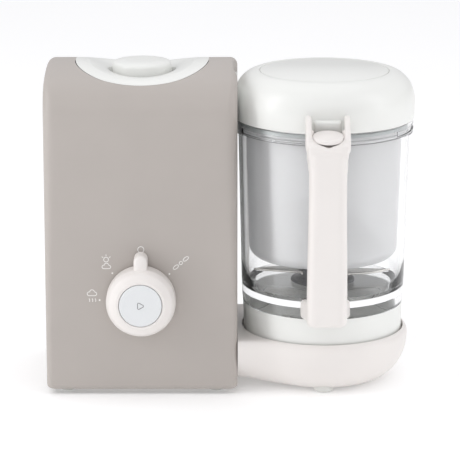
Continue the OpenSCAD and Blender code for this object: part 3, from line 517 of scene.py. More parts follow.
def build_tower():
    bm = bmesh.new()
    notch = math.sqrt((CHANNEL_R + LIP + SEAM) ** 2 - (CHANNEL_Z + CHANNEL_R - TOWER_TOP) ** 2)
    flat = TOWER_HALF_W - edge_radius(TOWER_TOP)
    inner = [notch * math.sin(math.radians(t)) for t in range(-90, 91, 5)]
    outer = [notch + (flat - notch) * k / 4 for k in range(1, 5)]
    columns = [("flat", x) for x in [-x for x in reversed(outer)] + inner + outer]
    edge_steps = 8
    left = [("edge", -90 + 90 * k / edge_steps) for k in range(edge_steps)]
    right = [("edge", 90 * (k + 1) / edge_steps) for k in range(edge_steps)]
    columns = left + columns + right
    upright_rows = [0, 0.002, 0.005, 0.01, 0.02, 0.05, 0.12, 0.2, 0.3, 0.4, 0.5, 0.6, 0.7, 0.8, 0.88, 0.95]
    bend_rows = 22

    def over_channel(x, point, side):
        y, z = point
        return z > channel_height(x, LIP + SEAM, side * y)

    def place(kind, value, u):
        base_z = side_point(u, 0)[1]
        r = edge_radius(base_z)
        if kind == "edge":
            t = math.radians(abs(value))
            x = math.copysign(TOWER_HALF_W - r + r * math.sin(t), value)
            inset = r * (1 - math.cos(t))
        else:
            x = value * (TOWER_HALF_W - r) / flat if abs(value) > notch else value
            inset = 0
        y, z = side_point(u, inset)
        above = min(z - TOWER_BOTTOM, FOOT_R)
        pull = FOOT_R - math.sqrt(FOOT_R ** 2 - (FOOT_R - above) ** 2)
        x -= math.copysign(pull, x) * smoothstep(TOWER_HALF_W - 12, TOWER_HALF_W, abs(x))
        y -= math.copysign(pull, y)
        return Vector((TOWER.x + x, TOWER.y + y, z))

    rings = {1: [], -1: []}
    for kind, value in columns:
        for side in (1, -1):
            end = 3
            if kind == "flat" and abs(value) < notch - 1e-6:
                end = bisect(lambda u: over_channel(value, side_point(u, 0), side), 1, 3)
            rows = upright_rows + [1 + (end - 1) * k / bend_rows for k in range(bend_rows + 1)]
            rings[side].append([place(kind, value, u if side > 0 else 6 - u) for u in rows])
    for sheet in rings.values():
        add_loft(bm, sheet, wrap=False)
    for ring_front, ring_back in ((rings[1][0], rings[-1][0]), (rings[1][-1], rings[-1][-1])):
        bm.faces.new([bm.verts.new(p) for p in ring_front + ring_back[-2::-1]])
    bmesh.ops.remove_doubles(bm, verts=bm.verts, dist=0.02)
    shell = make_piece("tower_case", bm, 40)
    wall = shell.modifiers.new("wall", "SOLIDIFY")
    wall.thickness = SHELL_WALL * MM
    wall.offset = -1
    bpy.context.view_layer.update()
    bake_modifiers(shell)
    cut(shell, tower_openings())
    cut(shell, lid_hollow())
    shade(shell, 38, weighted=True)
    return finish_piece(shell, "shell_grey", "housing", "tower_shell", "rear_shell")


def tower_openings():
    """Window for the side panel, belt passage, selector hole, cord gland hole and cooling slots."""
    bm = bmesh.new()
    panel_low, panel_high = node_box("flank_panel")
    inside, outside = tower_high.x - 6, tower_high.x + 4
    add_box(bm, (inside, panel_low.y - SEAM, panel_low.z - SEAM),
            (outside, panel_high.y + SEAM, panel_high.z + SEAM))
    add_box(bm, (inside, BOWL.y - BELT_HALF, TOWER_BOTTOM - 4), (outside, BOWL.y + BELT_HALF, BELT_ROOF))
    gland_low, gland_high = node_box("cord_gland")
    back = TOWER.y + TOWER_HALF_D
    gland = Vector(((gland_low.x + gland_high.x) / 2, back, (gland_low.z + gland_high.z) / 2))
    shaft = Vector((KNOB.x, tower_low.y, KNOB.z))
    for centre, radius in ((gland, 6), (shaft, 5)):
        bore = [(0, 4), (radius, 4), (radius, -8), (0, -8)]
        add_turned(bm, bore, centre, 48, loop=False, turn=FACING)
    for k in range(SLOT_COUNT):
        x = SLOT_X + SLOT_PITCH * k
        add_box(bm, (x, back - 8, SLOT_Z0), (x + SLOT_WIDTH, back + 4, SLOT_Z1))
    return make_piece("tower_cutter", bm)


def lid_hollow():
    """Round hollow in the case's side, over the panel, where the lid passes as it lifts."""
    foot = node_box("flank_panel")[1].z - 1
    roof = TOWER_TOP + 16
    profile = [(0, foot), (RECESS_R, foot), (RECESS_R, roof), (0, roof)]
    return turned_piece("hollow_cutter", profile, BOWL_AXIS, 256, loop=False)


build_tower()


def build_cheek():
    """Inner skin of the hollow in the case's side, over the panel, where the lid passes as it lifts."""
    foot = node_box("flank_panel")[1].z - 0.1
    corner = edge_radius(TOWER_TOP)
    columns = []
    for k in range(33):
        t = math.radians(180 + RECESS_ANGLE * (k - 16) / 16)
        column = []
        for radius in (RECESS_R, RECESS_R + SHELL_WALL):
            x, y = BOWL.x + radius * math.cos(t), BOWL.y + radius * math.sin(t)
            depth = max(TOWER_HALF_W - (x - TOWER.x), 0)
            fall = corner - math.sqrt(max(corner ** 2 - max(corner - depth, 0) ** 2, 0))
            column += [(x, y, foot), (x, y, top_height(y - TOWER.y) - fall - 0.3)]
        columns.append([column[0], column[1], column[3], column[2]])
    bm = bmesh.new()
    add_loft(bm, columns, cap_first=True, cap_last=True)
    return finish_piece(make_piece("case_cheek", bm, 40), "shell_grey", "housing", "tower_shell")


build_cheek()


def build_saddle():
    """White saddle in the notch: a round dish and neck for the filler, and a lip that follows the case."""
    steps = 180
    neck_r, neck_wall, neck_bottom = 20.0, 2.4, 236.0
    dish_r, dish_z = 27.0, 246.4

    def rim_radius(t, lip):
        """Distance from the filler's axis to where the channel meets the case's outside."""
        x, y = math.cos(t), math.sin(t)
        return bisect(lambda r: channel_height(r * x, lip, r * y) > top_height(r * y), 20, 70)

    def ring(radius, height):
        points = []
        for k in range(steps):
            t = 2 * math.pi * k / steps
            r = radius(t) if callable(radius) else radius
            z = height(t, r) if callable(height) else height
            points.append((TOWER.x + r * math.cos(t), TOWER.y + r * math.sin(t), z))
        return points

    inner = [rim_radius(2 * math.pi * k / steps, 0) for k in range(steps)]
    outer = [rim_radius(2 * math.pi * k / steps, LIP) for k in range(steps)]

    def between(share, inset=0.0):
        def radius(t):
            k = round(t / (2 * math.pi) * steps) % steps
            return inner[k] + (outer[k] - inner[k]) * share - inset
        return radius

    def on_channel(drop=0.0):
        return lambda t, r: channel_height(r * math.cos(t), 0, r * math.sin(t)) - drop

    def on_case(drop=0.0):
        return lambda t, r: top_height(r * math.sin(t)) - drop

    def in_channel(share):
        return lambda t: dish_r + 1.2 + (between(0, 1.6)(t) - dish_r - 1.2) * share

    rings = [ring(neck_r, neck_bottom), ring(neck_r, dish_z - 0.6), ring(neck_r + 0.6, dish_z)]
    rings += [ring(dish_r - 1.0, dish_z), ring(dish_r - 0.3, dish_z + 0.3), ring(dish_r, dish_z + 1.2)]
    rings += [ring(dish_r, on_channel(2.6)), ring(dish_r + 0.3, on_channel(1.9))]
    rings += [ring(in_channel(k / 9), on_channel(1.7 * (1 - k / 9) ** 2)) for k in range(10)]
    rings += [ring(between(0, 0.7), on_channel(0.12)), ring(between(0.02), on_channel(0.55))]
    rings += [ring(between(0.12), on_case(0.25)), ring(between(0.3), on_case(0.02))]
    rings += [ring(between(0.7), on_case(0.0)), ring(between(1.0), on_case(0.1))]
    rings += [ring(between(1.0, 1.0), on_case(2.4)), ring(between(0.4, 2.5), on_channel(LIP))]
    rings += [ring(in_channel(0.5), on_channel(LIP)), ring(dish_r + 2.2, on_channel(LIP))]
    rings += [ring(dish_r + 2.2, dish_z - 2.4), ring(neck_r + neck_wall, dish_z - 2.4)]
    rings += [ring(neck_r + neck_wall, neck_bottom)]
    bm = bmesh.new()
    add_loft(bm, rings, loop=True)
    saddle = make_piece("filler_saddle", bm, 50)
    return finish_piece(saddle, "cool_white", "housing", "top_saddle")


def build_cap():
    radius = (cap_high.x - cap_low.x) / 2
    z0, z1 = cap_low.z - 1.4, cap_high.z + 2.0
    socket_r, socket_top = 7.3, cap_low.z + 4.6
    outline = [(socket_r, z0, 0), (radius - 0.8, z0, 0.4), (radius, z0 + 1.2, 0.8), (radius, z1 - 1.6, 3.2),
               (radius - 9, z1 - 0.35, 20), (0, z1, 0)]
    profile = fillet(outline, 8) + [Vector((0, socket_top)), Vector((socket_r, socket_top))]
    cap = turned_piece("filler_cap", profile, Vector((TOWER.x, TOWER.y, 0)), sharp=45)
    return finish_piece(cap, "cool_white", "cap", "tank_cap")


# ---------------------------------------------------------------- controls


def stadium(half_w, z0, z1, steps=16):
    """Outline of an upright pill between two arc centres, as (x, z) points."""
    return arc(0, z1, half_w, 0, 180, steps) + arc(0, z0, half_w, 180, 360, steps)


def build_knob():
    """Drum with a soft conical face, and a rounded peg over its top edge as the pointer."""
    radius = (knob_high.x - knob_low.x) / 2
    depth = knob_high.y - knob_low.y
    well_r = (button_high.x - button_low.x) / 2 + 0.32
    axis = Vector((KNOB.x, knob_high.y, KNOB.z))
    outline = [(radius - 1.6, 0, 0), (radius - 0.2, 0.8, 0.5), (radius, 3, 1.0), (radius, depth - 8.6, 7),
               (radius - 2.6, depth - 3.6, 5), (well_r + 2.2, depth - 0.1, 2.0), (well_r + 0.5, depth, 0.3),
               (well_r, depth - 0.5, 0.3), (well_r, depth - 9, 0), (7, depth - 9, 0), (7, depth - 16, 0),
               (3, depth - 16, 0), (3, 0, 0)]
    bm = bmesh.new()
    add_turned(bm, fillet(outline, 8), axis, 160, turn=FACING)
    peg_r, peg_depth, peg_round = 5.4, 15.6, 3.2
    low, high = radius - 4.5, knob_high.z - KNOB.z - peg_r
    rings = []
    peg = [(0, 1.0), (0.0, peg_depth - peg_round)]
    peg += [(peg_round * (1 - math.cos(t)), peg_depth - peg_round + peg_round * math.sin(t))
            for t in [math.radians(15 * k) for k in range(1, 6)]]
    for inset, out in peg:
        outline = stadium(peg_r - inset, low, high)
        rings.append([(axis.x + x, axis.y - out, axis.z + z) for x, z in outline])
    add_loft(bm, rings, cap_first=True, cap_last=True)
    return finish_piece(make_piece("selector_knob", bm, 40), "warm_white", "selector", "knob")


def build_button():
    """Start button, slightly dished, with a plain start mark raised on it."""
    radius = (button_high.x - button_low.x) / 2
    depth = button_high.y - button_low.y
    axis = Vector((KNOB.x, button_high.y, KNOB.z))
    outline = [(0, 0.4, 0), (3.6, 0.4, 0), (3.6, 0, 0), (radius, 0, 0.3), (radius, depth, 0.8),
               (radius - 4, depth - 0.12, 6), (0, depth - 0.45, 0)]
    cap = turned_piece("start_button_cap", fillet(outline, 8), axis, loop=False, turn=FACING, sharp=40)
    finish_piece(cap, "button_grey", "button", "start_button")
    bm = bmesh.new()
    corners = [(a, b, 0.9) for a, b in arc(0, 0, 3.7, 0, 240, 2)]
    triangle = [(x - 0.3, z) for x, z in fillet(corners, 5, closed=True)]
    add_line(bm, triangle, 0.55, button_low.y + 0.42, closed=True)
    mark = make_piece("start_mark", bm)
    return finish_piece(mark, "button_grey", "button", material=print_grey)


PRINT_DEPTH = 0.10


def add_line(bm, path, width, face_y, closed=False):
    """A printed line on the front: a thin raised band along (x, z) points from the knob's axis."""
    count = len(path)
    rings = []
    for i, (x, z) in enumerate(path):
        before = path[i - 1] if closed or i > 0 else path[i]
        after = path[(i + 1) % count] if closed or i < count - 1 else path[i]
        along = Vector((after[0] - before[0], after[1] - before[1])).normalized()
        side = Vector((-along.y, along.x)) * width / 2
        near, far = Vector((x, z)) + side, Vector((x, z)) - side
        flat = [(near, 0), (near, PRINT_DEPTH), (far, PRINT_DEPTH), (far, 0)]
        rings.append([(KNOB.x + p.x, face_y - out, KNOB.z + p.y) for p, out in flat])
    add_loft(bm, rings, loop=closed, cap_first=not closed, cap_last=not closed)


def add_dot(bm, x, z, radius, face_y):
    rings = [[(KNOB.x + x + radius * math.cos(t), face_y - out, KNOB.z + z + radius * math.sin(t))
              for t in [2 * math.pi * k / 20 for k in range(20)]] for out in (0, PRINT_DEPTH)]
    add_loft(bm, rings, cap_first=True, cap_last=True)


def cloud_outline(x, z, size):
    """A puff of steam: three bumps over a flat-bottomed cloud."""
    bumps = arc(-0.55, 0.0, 0.42, 250, 70, 8) + arc(0.0, 0.35, 0.5, 150, 10, 8)
    bumps += arc(0.55, 0.0, 0.38, 80, -90, 8)
    return [(x + size * a, z + size * b) for a, b in bumps]


def oval_outline(x, z, half_long, half_short, lean, steps=24):
    c, s = math.cos(math.radians(lean)), math.sin(math.radians(lean))
    points = []
    for k in range(steps):
        t = 2 * math.pi * k / steps
        a, b = half_long * math.cos(t), half_short * math.sin(t)
        points.append((x + a * c - b * s, z + a * s + b * c))
    return points


def build_marks():
    """Generic printed marks round the selector: off, blend, steam, and defrost or warm."""
    line = 0.62
    face = tower_low.y
    bm = bmesh.new()
    add_line(bm, oval_outline(0, 39.7, 2.4, 2.4, 0), line, face, closed=True)
    for x, z in ((-32.9, -1.5), (-22.6, 20.5), (22.4, 19.9)):
        add_dot(bm, x, z, 0.75, face)
    add_line(bm, cloud_outline(-38.8, 3.6, 3.9), line, face, closed=True)
    for k in (-1, 0, 1):
        wave = [(-38.8 + 2.4 * k + 0.5 * math.sin(a / 2), -0.6 - 0.55 * a) for a in range(6)]
        add_line(bm, [(x, z + 0.4) for x, z in wave], line, face)
    add_line(bm, cloud_outline(-27.2, 25.6, 3.6), line, face, closed=True)
    add_line(bm, oval_outline(-27.4, 31.6, 1.9, 1.9, 0), line, face, closed=True)
    for a in (35, 90, 145):
        c, s = math.cos(math.radians(a)), math.sin(math.radians(a))
        add_line(bm, [(-27.4 + 2.8 * c, 31.6 + 2.8 * s), (-27.4 + 4.2 * c, 31.6 + 4.2 * s)], line, face)
    for k in (-1, 0, 1):
        step = 3.9 * k
        size = 2.5 if k else 1.3
        add_line(bm, oval_outline(31.4 + step, 28.8 + step * 0.86, size, 1.25, 40), line, face, closed=True)
    marks = make_piece("dial_marks", bm)
    return finish_piece(marks, "warm_white", "housing", material=print_white)


build_saddle()
build_cap()
build_knob()
build_button()
build_marks()

# -------------------------------------------------------------------- base

BASE_R = 69.0
BELLY_Z = 38.0
CREST_ROLL = 4.4
BASE_CREST = node_box("base_body")[1].z
SEAT_R, SEAT_Z = 65.3, 38.0
FILLET_R = 40
NECK_FRONT, NECK_BACK = -56, 58
FRONT_FILLET = Vector((-51.6, NECK_FRONT - FILLET_R))
BACK_FILLET = Vector((-47.7, NECK_BACK + FILLET_R))
NECK_WIDTH = NECK_BACK - NECK_FRONT
NECK_X = tower_high.x + 0.2 - BOWL.x


def base_outline():
    """Plan of the base from the bowl's axis, as points with inward directions.

    None stands for the direction along the face on the tower.
    """
    path = []
    for k in range(6):
        path.append((Vector((NECK_X + (FRONT_FILLET.x - NECK_X) * k / 6, NECK_FRONT)), Vector((0, 1))))

    def follow(centre, radius, start, end, steps, sign):
        for k in range(steps):
            t = math.radians(start + (end - start) * k / steps)
            out = Vector((math.cos(t), math.sin(t)))
            path.append((centre + radius * out, out * sign))

    follow(FRONT_FILLET, FILLET_R, 90, 61.7, 10, 1)
    follow(Vector((0, 0)), BASE_R, -118.25, 115.96, 110, -1)
    follow(BACK_FILLET, FILLET_R, -64.05, -90, 10, 1)
    for k in range(7):
        path.append((Vector((BACK_FILLET.x + (NECK_X - BACK_FILLET.x) * k / 6, NECK_BACK)), Vector((0, -1))))
    for k in range(1, 24):
        path.append((Vector((NECK_X, NECK_BACK - NECK_WIDTH * k / 24)), None))
    return path


def build_base():
    """Low base: a rolled crest round the bowl's seat and a belly that turns in below, run into the tower."""
    outline = base_outline()

    def neck_share(p):
        return 1 - smoothstep(-66, -36, p.x)

    def at_inset(inset, height, neck_inset=None):
        points = []
        back_y, front_y = NECK_BACK - (neck_inset or inset), NECK_FRONT + (neck_inset or inset)
        for p, inward in outline:
            share = neck_share(p)
            if inward is None:
                y = front_y + (back_y - front_y) * (p.y - NECK_FRONT) / NECK_WIDTH
                q = Vector((NECK_X, y))
            else:
                step = inset + ((neck_inset or inset) - inset) * share
                q = p + inward * step
            points.append((q, share, height))
        return points

    def on_circle(radius, height):
        return [(p.normalized() * radius, neck_share(p), height) for p, inward in outline]

    def placed(points, neck_height=None):
        ring = []
        for q, share, height in points:
            z = height if neck_height is None else height + (neck_height - height) * share
            ring.append((BOWL.x + q.x, BOWL.y + q.y, z))
        return ring

    def crest():
        points = []
        for q, share, height in at_inset(CREST_ROLL, BASE_CREST):
            if q.length < 65.75:
                q = q.normalized() * 65.75
            points.append((q, share, height - 0.06 * (1 - share)))
        return points

    rings = [placed(on_circle(9, 34)), placed(on_circle(9, SEAT_Z)), placed(on_circle(64.6, SEAT_Z))]
    rings += [placed(on_circle(65.1, SEAT_Z + 0.2)), placed(on_circle(SEAT_R, SEAT_Z + 0.7))]
    rings += [placed(on_circle(SEAT_R, BASE_CREST - 0.5)), placed(on_circle(SEAT_R + 0.2, BASE_CREST - 0.15))]
    rings += [placed(crest())]
    for t in (70, 58, 46, 34, 22, 10, 0):
        c, s = math.cos(math.radians(t)), math.sin(math.radians(t))
        rings.append(placed(at_inset(CREST_ROLL * (1 - c), BELLY_Z + (BASE_CREST - BELLY_Z) * s)))
    for t in (10, 20, 30, 40, 50, 60, 70, 78, 84, 90):
        c, s = math.cos(math.radians(t)), math.sin(math.radians(t))
        points = at_inset(29 * (1 - c), BELLY_Z - 36 * s, 26 * (1 - c))
        rings.append(placed(points, BELLY_Z - 30 * s))
    rings += [placed(on_circle(37.6, 2)), placed(on_circle(37.2, 2.4)), placed(on_circle(37.2, 5.1))]
    rings += [placed(on_circle(30, 5.1)), placed(on_circle(30, 34))]
    bm = bmesh.new()
    add_loft(bm, rings, loop=True)
    base = make_piece("base_end", bm, 32)
    return finish_piece(base, "warm_white", "housing", "base_body")


def build_tray():
    """The rest of the base, which runs on under the tower: its tray and the tongue through the side."""
    source = frame["nodes"]["base_body"]
    bm = bmesh.new()
    bm.from_mesh(source.data)
    bmesh.ops.remove_doubles(bm, verts=bm.verts, dist=1e-6)
    plane = (tower_high.x + 0.1) * MM
    everything = bm.verts[:] + bm.edges[:] + bm.faces[:]
    bmesh.ops.bisect_plane(bm, geom=everything, plane_co=(plane, 0, 0), plane_no=(1, 0, 0), clear_outer=True)
    bmesh.ops.scale(bm, vec=(1 / MM, 1 / MM, 1 / MM), verts=bm.verts)
    tray = make_piece("base_tray", bm, 30)
    return finish_piece(tray, "warm_white", "housing", "base_body")


build_base()
build_tray()

# ------------------------------------------------------------------ handle

GRIP_FRONT = handle_low.y
GRIP_BACK = GRIP_FRONT + 16
GRIP_FOOT = 69.7
PAD_TILT = 9
PAD_R = 12.0
PAD_CENTRE = Vector((BOWL.x, GRIP_FRONT + 12.4, 217.7))
PAD_TURN = Matrix.Rotation(math.radians(PAD_TILT), 3, "X")
EAR_HALF, EAR_THICK = (handle_high.x - handle_low.x) / 2, 4.4


def wall_radius(z):
    """Outer radius of the bowl's clear wall."""
    return 65.4 + 3 * (z - 73.5) / 131.5


def grip_half_width(z):
    """The grip narrows a little towards the thumb."""
    return 15.7 - 1.15 * smoothstep(80, 188, z) + 0.75 * smoothstep(190, 205, z)


def add_sections(bm, sections, corner_steps=6):
    """Skins rounded rectangles: (half width, front y, back y, front radius, back radius, z)."""
    rings = []
    for half, y0, y1, front_r, back_r, z in sections:
        corners = [(-half, y1, back_r), (-half, y0, front_r), (half, y0, front_r), (half, y1, back_r)]
        rings.append([(BOWL.x + p.x, p.y, z) for p in fillet(corners, corner_steps, closed=True)])
    add_loft(bm, rings, cap_first=True, cap_last=True)


def add_plate(bm, x0, x1, outline, edge=1.6):
    """A plate across X with a profile in Y and Z, and its two long edges rounded."""
    middle = Vector((sum(p[0] for p in outline), sum(p[1] for p in outline))) / len(outline)
    steps = [(x0, edge), (x0 + 0.3 * edge, 0.3 * edge), (x0 + edge, 0)]
    steps += [(x1 - edge, 0), (x1 - 0.3 * edge, 0.3 * edge), (x1, edge)]
    rings = []
    for x, inset in steps:
        ring = []
        for a, b in outline:
            p = Vector((a, b))
            p -= (p - middle).normalized() * inset
            ring.append((x, p.x, p.y))
        rings.append(ring)
    add_loft(bm, rings, cap_first=True, cap_last=True)


def add_arm(bm, sections, low_r, high_r, corner_steps):
    """Skins rounded rectangles along Y: (y, half width, low z, high z)."""
    rings = []
    for y, half, low, high in sections:
        corners = [(-half, low, low_r), (half, low, low_r), (half, high, high_r), (-half, high, high_r)]
        rings.append([(BOWL.x + p.x, y, p.y) for p in fillet(corners, corner_steps, closed=True)])
    add_loft(bm, rings, cap_first=True, cap_last=True)


def build_handle():
    """C-shaped handle: one grip, arms to the collar and the rim, and two ears beside the thumb button."""
    bm = bmesh.new()
    half = grip_half_width
    sections = [(half(70) - 3, GRIP_FRONT + 3, GRIP_BACK - 2, 5, 3, GRIP_FOOT),
                (half(70) - 1, GRIP_FRONT + 1, GRIP_BACK - 0.6, 6.2, 4, GRIP_FOOT + 0.9),
                (half(70), GRIP_FRONT, GRIP_BACK, 7, 4.5, GRIP_FOOT + 3.4)]
    for z in range(85, 206, 12):
        sections.append((half(z), GRIP_FRONT, GRIP_BACK, 7, 4.5, z))
    sections.append((half(206), GRIP_FRONT, GRIP_BACK, 7, 3, 207))
    add_sections(bm, sections)
    # arm to the collar, widening where it meets the wall
    arm = [(-86, 12.6, 70.4, 90), (-76, 12.8, 69.8, 90), (-72, 13, 69.2, 86), (-66, 13.6, 68.0, 83.4),
           (-60, 14.8, 66.8, 82), (-52, 17.5, 65.4, 81.5), (-44, 20, 65, 81)]
    add_arm(bm, arm, 3, 3, 4)
    # head and arm to the rim band
    head = [(GRIP_FRONT + 1.6, 13.6, 195, 208), (GRIP_FRONT + 6, 15.1, 190, 211), (-74, 15.2, 188, 214),
            (-68, 15.2, 190, 214), (-58, 15.4, 191, 214), (-46, 16, 191.4, 214)]
    add_arm(bm, head, 4, 2, 5)
    # shoulders that swell from the grip into the ears, and the ears
    brow = [(GRIP_FRONT + 1.6, 202, 3), (GRIP_FRONT + 0.6, 213.6, 1.2), (GRIP_FRONT + 5.5, 216.0, 3),
            (-72.5, 222.5, 3), (-58, 222.5, 2), (-58, 202, 3)]
    add_plate(bm, BOWL.x - 15.5, BOWL.x + 15.5, [tuple(p) for p in fillet(brow, 4, closed=True)], 2)
    ear = [(GRIP_FRONT + 5.4, 207, 3), (GRIP_FRONT + 3.6, 214, 5), (-74.6, 231.4, 6.5), (-57, 232, 2),
           (-57, 206, 2)]
    side = [tuple(p) for p in fillet(ear, 6, closed=True)]
    for x0 in (BOWL.x - EAR_HALF, BOWL.x + EAR_HALF - EAR_THICK):
        add_plate(bm, x0, x0 + EAR_THICK, side, 1.7)
    handle = make_piece("bowl_handle", bm, 180)
    melt_together(handle, 0.8, 9)
    # hollows that follow the bowl, the rim band and the lid
    bores = [(0, 40), (65.6, 40), (65.6, 73.4), (wall_radius(73.5) + 0.2, 73.5),
             (wall_radius(189.6) + 0.2, 189.6), (71.45, 190.4), (71.45, 215.0), (RECESS_R, 215.2),
             (RECESS_R, 260), (0, 260)]
    cut(handle, turned_piece("bowl_cutter", bores, BOWL_AXIS, 256, loop=False, sharp=180))
    bm = bmesh.new()
    inner = EAR_HALF - EAR_THICK
    add_box(bm, (BOWL.x - inner, GRIP_FRONT + 17.5, 214.2), (BOWL.x + inner, -40, 245))
    cut(handle, make_piece("gap_cutter", bm, 180))
    pocket = [(0, -18), (5.4, -18), (5.4, -4.2), (PAD_R + 0.3, -4.2), (PAD_R + 0.3, 34), (0, 34)]
    cut(handle, turned_piece("pocket_cutter", pocket, PAD_CENTRE, 96, loop=False, turn=PAD_TURN, sharp=180))
    shade(handle, 42)
    finish_piece(handle, "warm_white", "bowl", "handle")


def build_thumb_button():
    """Round pad on a hollow stem that its spring sits in."""
    outline = [(3.6, -3, 0), (3.6, -8, 0), (5, -8, 0.4), (5, -1.4, 0), (PAD_R, -1.4, 0.5),
               (PAD_R, 1.9, 0.8), (PAD_R - 5, 2.1, 8), (0, 2.0, 0)]
    profile = fillet(outline, 6) + [Vector((0, -3))]
    pad = turned_piece("thumb_button", profile, PAD_CENTRE, 96, turn=PAD_TURN, sharp=40)
    finish_piece(pad, "warm_white", "latch", "latch_button")


build_handle()
build_thumb_button()

# --------------------------------------------------------------------- lid

LID_R = 72.3
LID_TOP = lid_high.z
LID_FOOT = lid_low.z
FLAT_R = 51.7
SIDE_Z = 228.0
LID_WALL = 2.4
DISC_GAP = 0.55
PORT_Z, PORT_R = 226, 4.6
TAB_HALF, TAB_Z0, TAB_Z1 = 10.6, 217, 227


def lid_curve(inset):
    """The lid's long shoulder, from its flat top down to its side."""
    points = []
    for k in range(41):
        t = math.pi / 2 * k / 40
        across = (LID_R - FLAT_R - inset) * math.sin(t) ** 0.95
        up = (LID_TOP - SIDE_Z - inset) * max(math.cos(t), 0) ** 0.95
        points.append((FLAT_R + across, SIDE_Z + up))
    return points


def build_lid():
    """Dome with a seat for its disc and a port for the steam, and the tab that the thumb button locks."""
    edge = (disc_high.x - disc_low.x) / 2 + DISC_GAP
    seat = [(edge - 3.5, LID_TOP - LID_WALL), (edge - 3.5, LID_TOP - 1.1), (edge, LID_TOP - 1.1),
            (edge, LID_TOP - 0.45), (edge + 0.12, LID_TOP - 0.15), (edge + 0.4, LID_TOP - 0.04)]
    shoulder = [p for p in lid_curve(0) if p[0] > edge + 0.5]
    foot = [(LID_R - 0.3, LID_FOOT + 1.0), (LID_R - 0.6, LID_FOOT + 0.3), (LID_R - 1.0, LID_FOOT),
            (LID_R - 0.5 - LID_WALL, LID_FOOT)]
    profile = seat + shoulder + foot + list(reversed(lid_curve(LID_WALL)))
    lid = turned_piece("lid_dome", profile, BOWL_AXIS, 224, sharp=40)
    port = Vector((BOWL.x - LID_R - 2, BOWL.y, PORT_Z))
    sideways = Matrix.Rotation(math.pi / 2, 3, "Y")
    bore = [(0, 0), (PORT_R, 0), (PORT_R, 7), (0, 7)]
    cut(lid, turned_piece("port_cutter", bore, port, 48, loop=False, turn=sideways))
    shade(lid, 40)
    finish_piece(lid, "cool_white", "lid", "lid_shell")
    bm = bmesh.new()
    y_front, y_back = BOWL.y - LID_R - 7, BOWL.y - LID_R + 3
    rings = []
    for y, inset in ((y_front, 1.4), (y_front + 0.5, 0.5), (y_front + 1.4, 0), (y_back, 0)):
        half, low, high = TAB_HALF - inset, TAB_Z0 + inset, TAB_Z1 - inset
        corners = [(-half, low, 2), (half, low, 2), (half, high, 2), (-half, high, 2)]
        rings.append([(BOWL.x + p.x, y, p.y) for p in fillet(corners, 5, closed=True)])
    add_loft(bm, rings, cap_first=True, cap_last=True)
    finish_piece(make_piece("lid_tab", bm, 40), "cool_white", "lid", "lid_shell")


build_lid()

# ----------------------------------------------------------------- springs


def build_coil(name, body, centre, turn, radius, wire, z0, z1, turns):
    """A real coil spring in the sleeve's place."""
    bm = bmesh.new()
    path = []
    steps = int(turns * 20)
    for k in range(steps + 1):
        a = 2 * math.pi * turns * k / steps
        z = z0 + wire + (z1 - z0 - 2 * wire) * k / steps
        path.append(centre + turn @ Vector((radius * math.cos(a), radius * math.sin(a), z)))
    add_tube(bm, path, wire, 8)
    spring = make_piece(name, bm, 60)
    finish_piece(spring, "steel", body, name.replace("_coil", "_spring"))
    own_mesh(spring)


spring_low, spring_high = node_box("button_spring")
build_coil("button_coil", "selector", Vector((KNOB.x, spring_high.y, KNOB.z)), FACING, 5.0, 0.4, 0,
           spring_high.y - spring_low.y, 6)
build_coil("latch_coil", "bowl", PAD_CENTRE, PAD_TURN, 3.0, 0.35, -17.9, -3.1, 8)

# ---------------------------------------------------- looks of other nodes

KEEPS_LOOK = {node["node"]: node["material_slot"] for node in frame["record"]["subparts"]}
# painted shade: the lifting fin is made dark grey and not see-through, so that it shows as the darker wedge
# inside the basket
KEEPS_LOOK["lifting_fin"] = "milky_grey"
REPLACED = {"tower_shell", "rear_shell", "top_saddle", "tank_cap", "knob", "start_button", "base_body",
            "handle", "latch_button", "lid_shell", "button_spring", "latch_spring"}
SHARP_NODES = {"control_board", "bowl_glass"}


def dress(node):
    """Rounds and shades a node that is shown as modelled, and gives it its material."""
    piece = frame["nodes"][node]
    custom = piece.data.attributes.get("custom_normal")
    if custom:
        piece.data.attributes.remove(custom)
    piece.data.shade_smooth()
    weld = piece.modifiers.new("weld", "WELD")
    weld.merge_threshold = 2e-6
    if node not in SHARP_NODES:
        bevel = piece.modifiers.new("soft_edges", "BEVEL")
        bevel.width = 0.25 * MM
        bevel.segments = 2
        bevel.limit_method = "ANGLE"
        bevel.angle_limit = math.radians(38)
    crease = piece.modifiers.new("creases", "EDGE_SPLIT")
    crease.split_angle = math.radians(34)
    piece.data.materials.clear()
    piece.data.materials.append(looks[KEEPS_LOOK[node]])


for node in sorted(frame["nodes"]):
    if node not in REPLACED:
        dress(node)

# ------------------------------------------------------------ light, floor


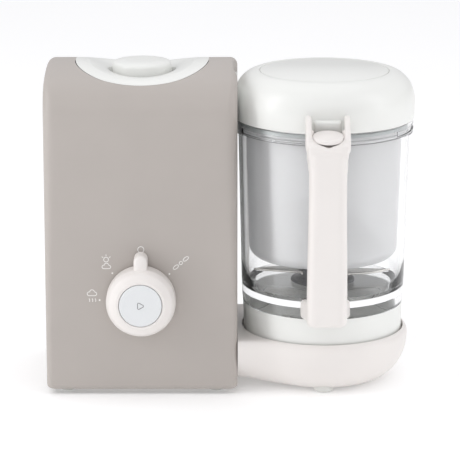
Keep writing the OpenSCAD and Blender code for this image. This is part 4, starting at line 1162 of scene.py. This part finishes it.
def make_world():
    """Near-white surroundings, dimmer low down so that clear edges read against them."""
    world = bpy.data.worlds.new("studio")
    scene.world = world
    world.use_nodes = True
    nodes, links = world.node_tree.nodes, world.node_tree.links
    background = nodes["Background"]
    place = nodes.new("ShaderNodeTexCoord")
    split = nodes.new("ShaderNodeSeparateXYZ")
    links.new(place.outputs["Generated"], split.inputs["Vector"])
    ramp = nodes.new("ShaderNodeValToRGB")
    ramp.color_ramp.elements[0].position = 0.5
    ramp.color_ramp.elements[0].color = (0.42, 0.42, 0.43, 1)
    ramp.color_ramp.elements[1].position = 0.78
    ramp.color_ramp.elements[1].color = (0.98, 0.98, 1.0, 1)
    span = nodes.new("ShaderNodeMapRange")
    span.inputs["From Min"].default_value = -1.0
    links.new(split.outputs["Z"], span.inputs["Value"])
    links.new(span.outputs["Result"], ramp.inputs["Fac"])
    links.new(ramp.outputs["Color"], background.inputs["Color"])
    background.inputs["Strength"].default_value = WORLD_STRENGTH


def add_light(name, place, target, width, height, power):
    data = bpy.data.lights.new(name, "AREA")
    data.shape = "RECTANGLE"
    data.size, data.size_y = width, height
    data.energy = power
    light = bpy.data.objects.new(name, data)
    scene.collection.objects.link(light)
    light.location = place
    aim = Vector(target) - Vector(place)
    light.rotation_euler = aim.to_track_quat("-Z", "Y").to_euler()


def make_floor():
    bm = bmesh.new()
    add_box(bm, (-FLOOR_HALF, -FLOOR_HALF, -40), (FLOOR_HALF, FLOOR_HALF, 0))
    floor = make_piece("floor", bm)
    material, nodes, links, shader = new_material("floor_white")
    where = object_coordinates(nodes, links)
    mottled_colour(nodes, links, shader, where, FLOOR_TONE, 0.004, 0.002)
    ranged_roughness(nodes, links, shader, where, 0.6, 0.7, 0.01)
    shader.inputs["Emission Color"].default_value = (1, 1, 1, 1)
    shader.inputs["Emission Strength"].default_value = 0.2
    floor.data.materials.append(material)


WORLD_STRENGTH = 0.88
FLOOR_TONE = (0.88, 0.88, 0.88)
FLOOR_HALF = 8000
make_world()
make_floor()
scene.view_settings.view_transform = "Standard"
add_light("left_panel", (-1.5, -0.5, 0.7), (0, 0, 0.14), 0.3, 1.4, 9)
add_light("right_panel", (1.5, -0.45, 0.7), (0, 0, 0.14), 0.3, 1.4, 5)
add_light("top_panel", (0.1, 0.1, 1.7), (0, 0, 0.1), 1.8, 1.6, 3.5)
add_light("front_panel", (0.0, -2.6, 1.5), (0, 0, 0.12), 2.4, 1.0, 4.5)
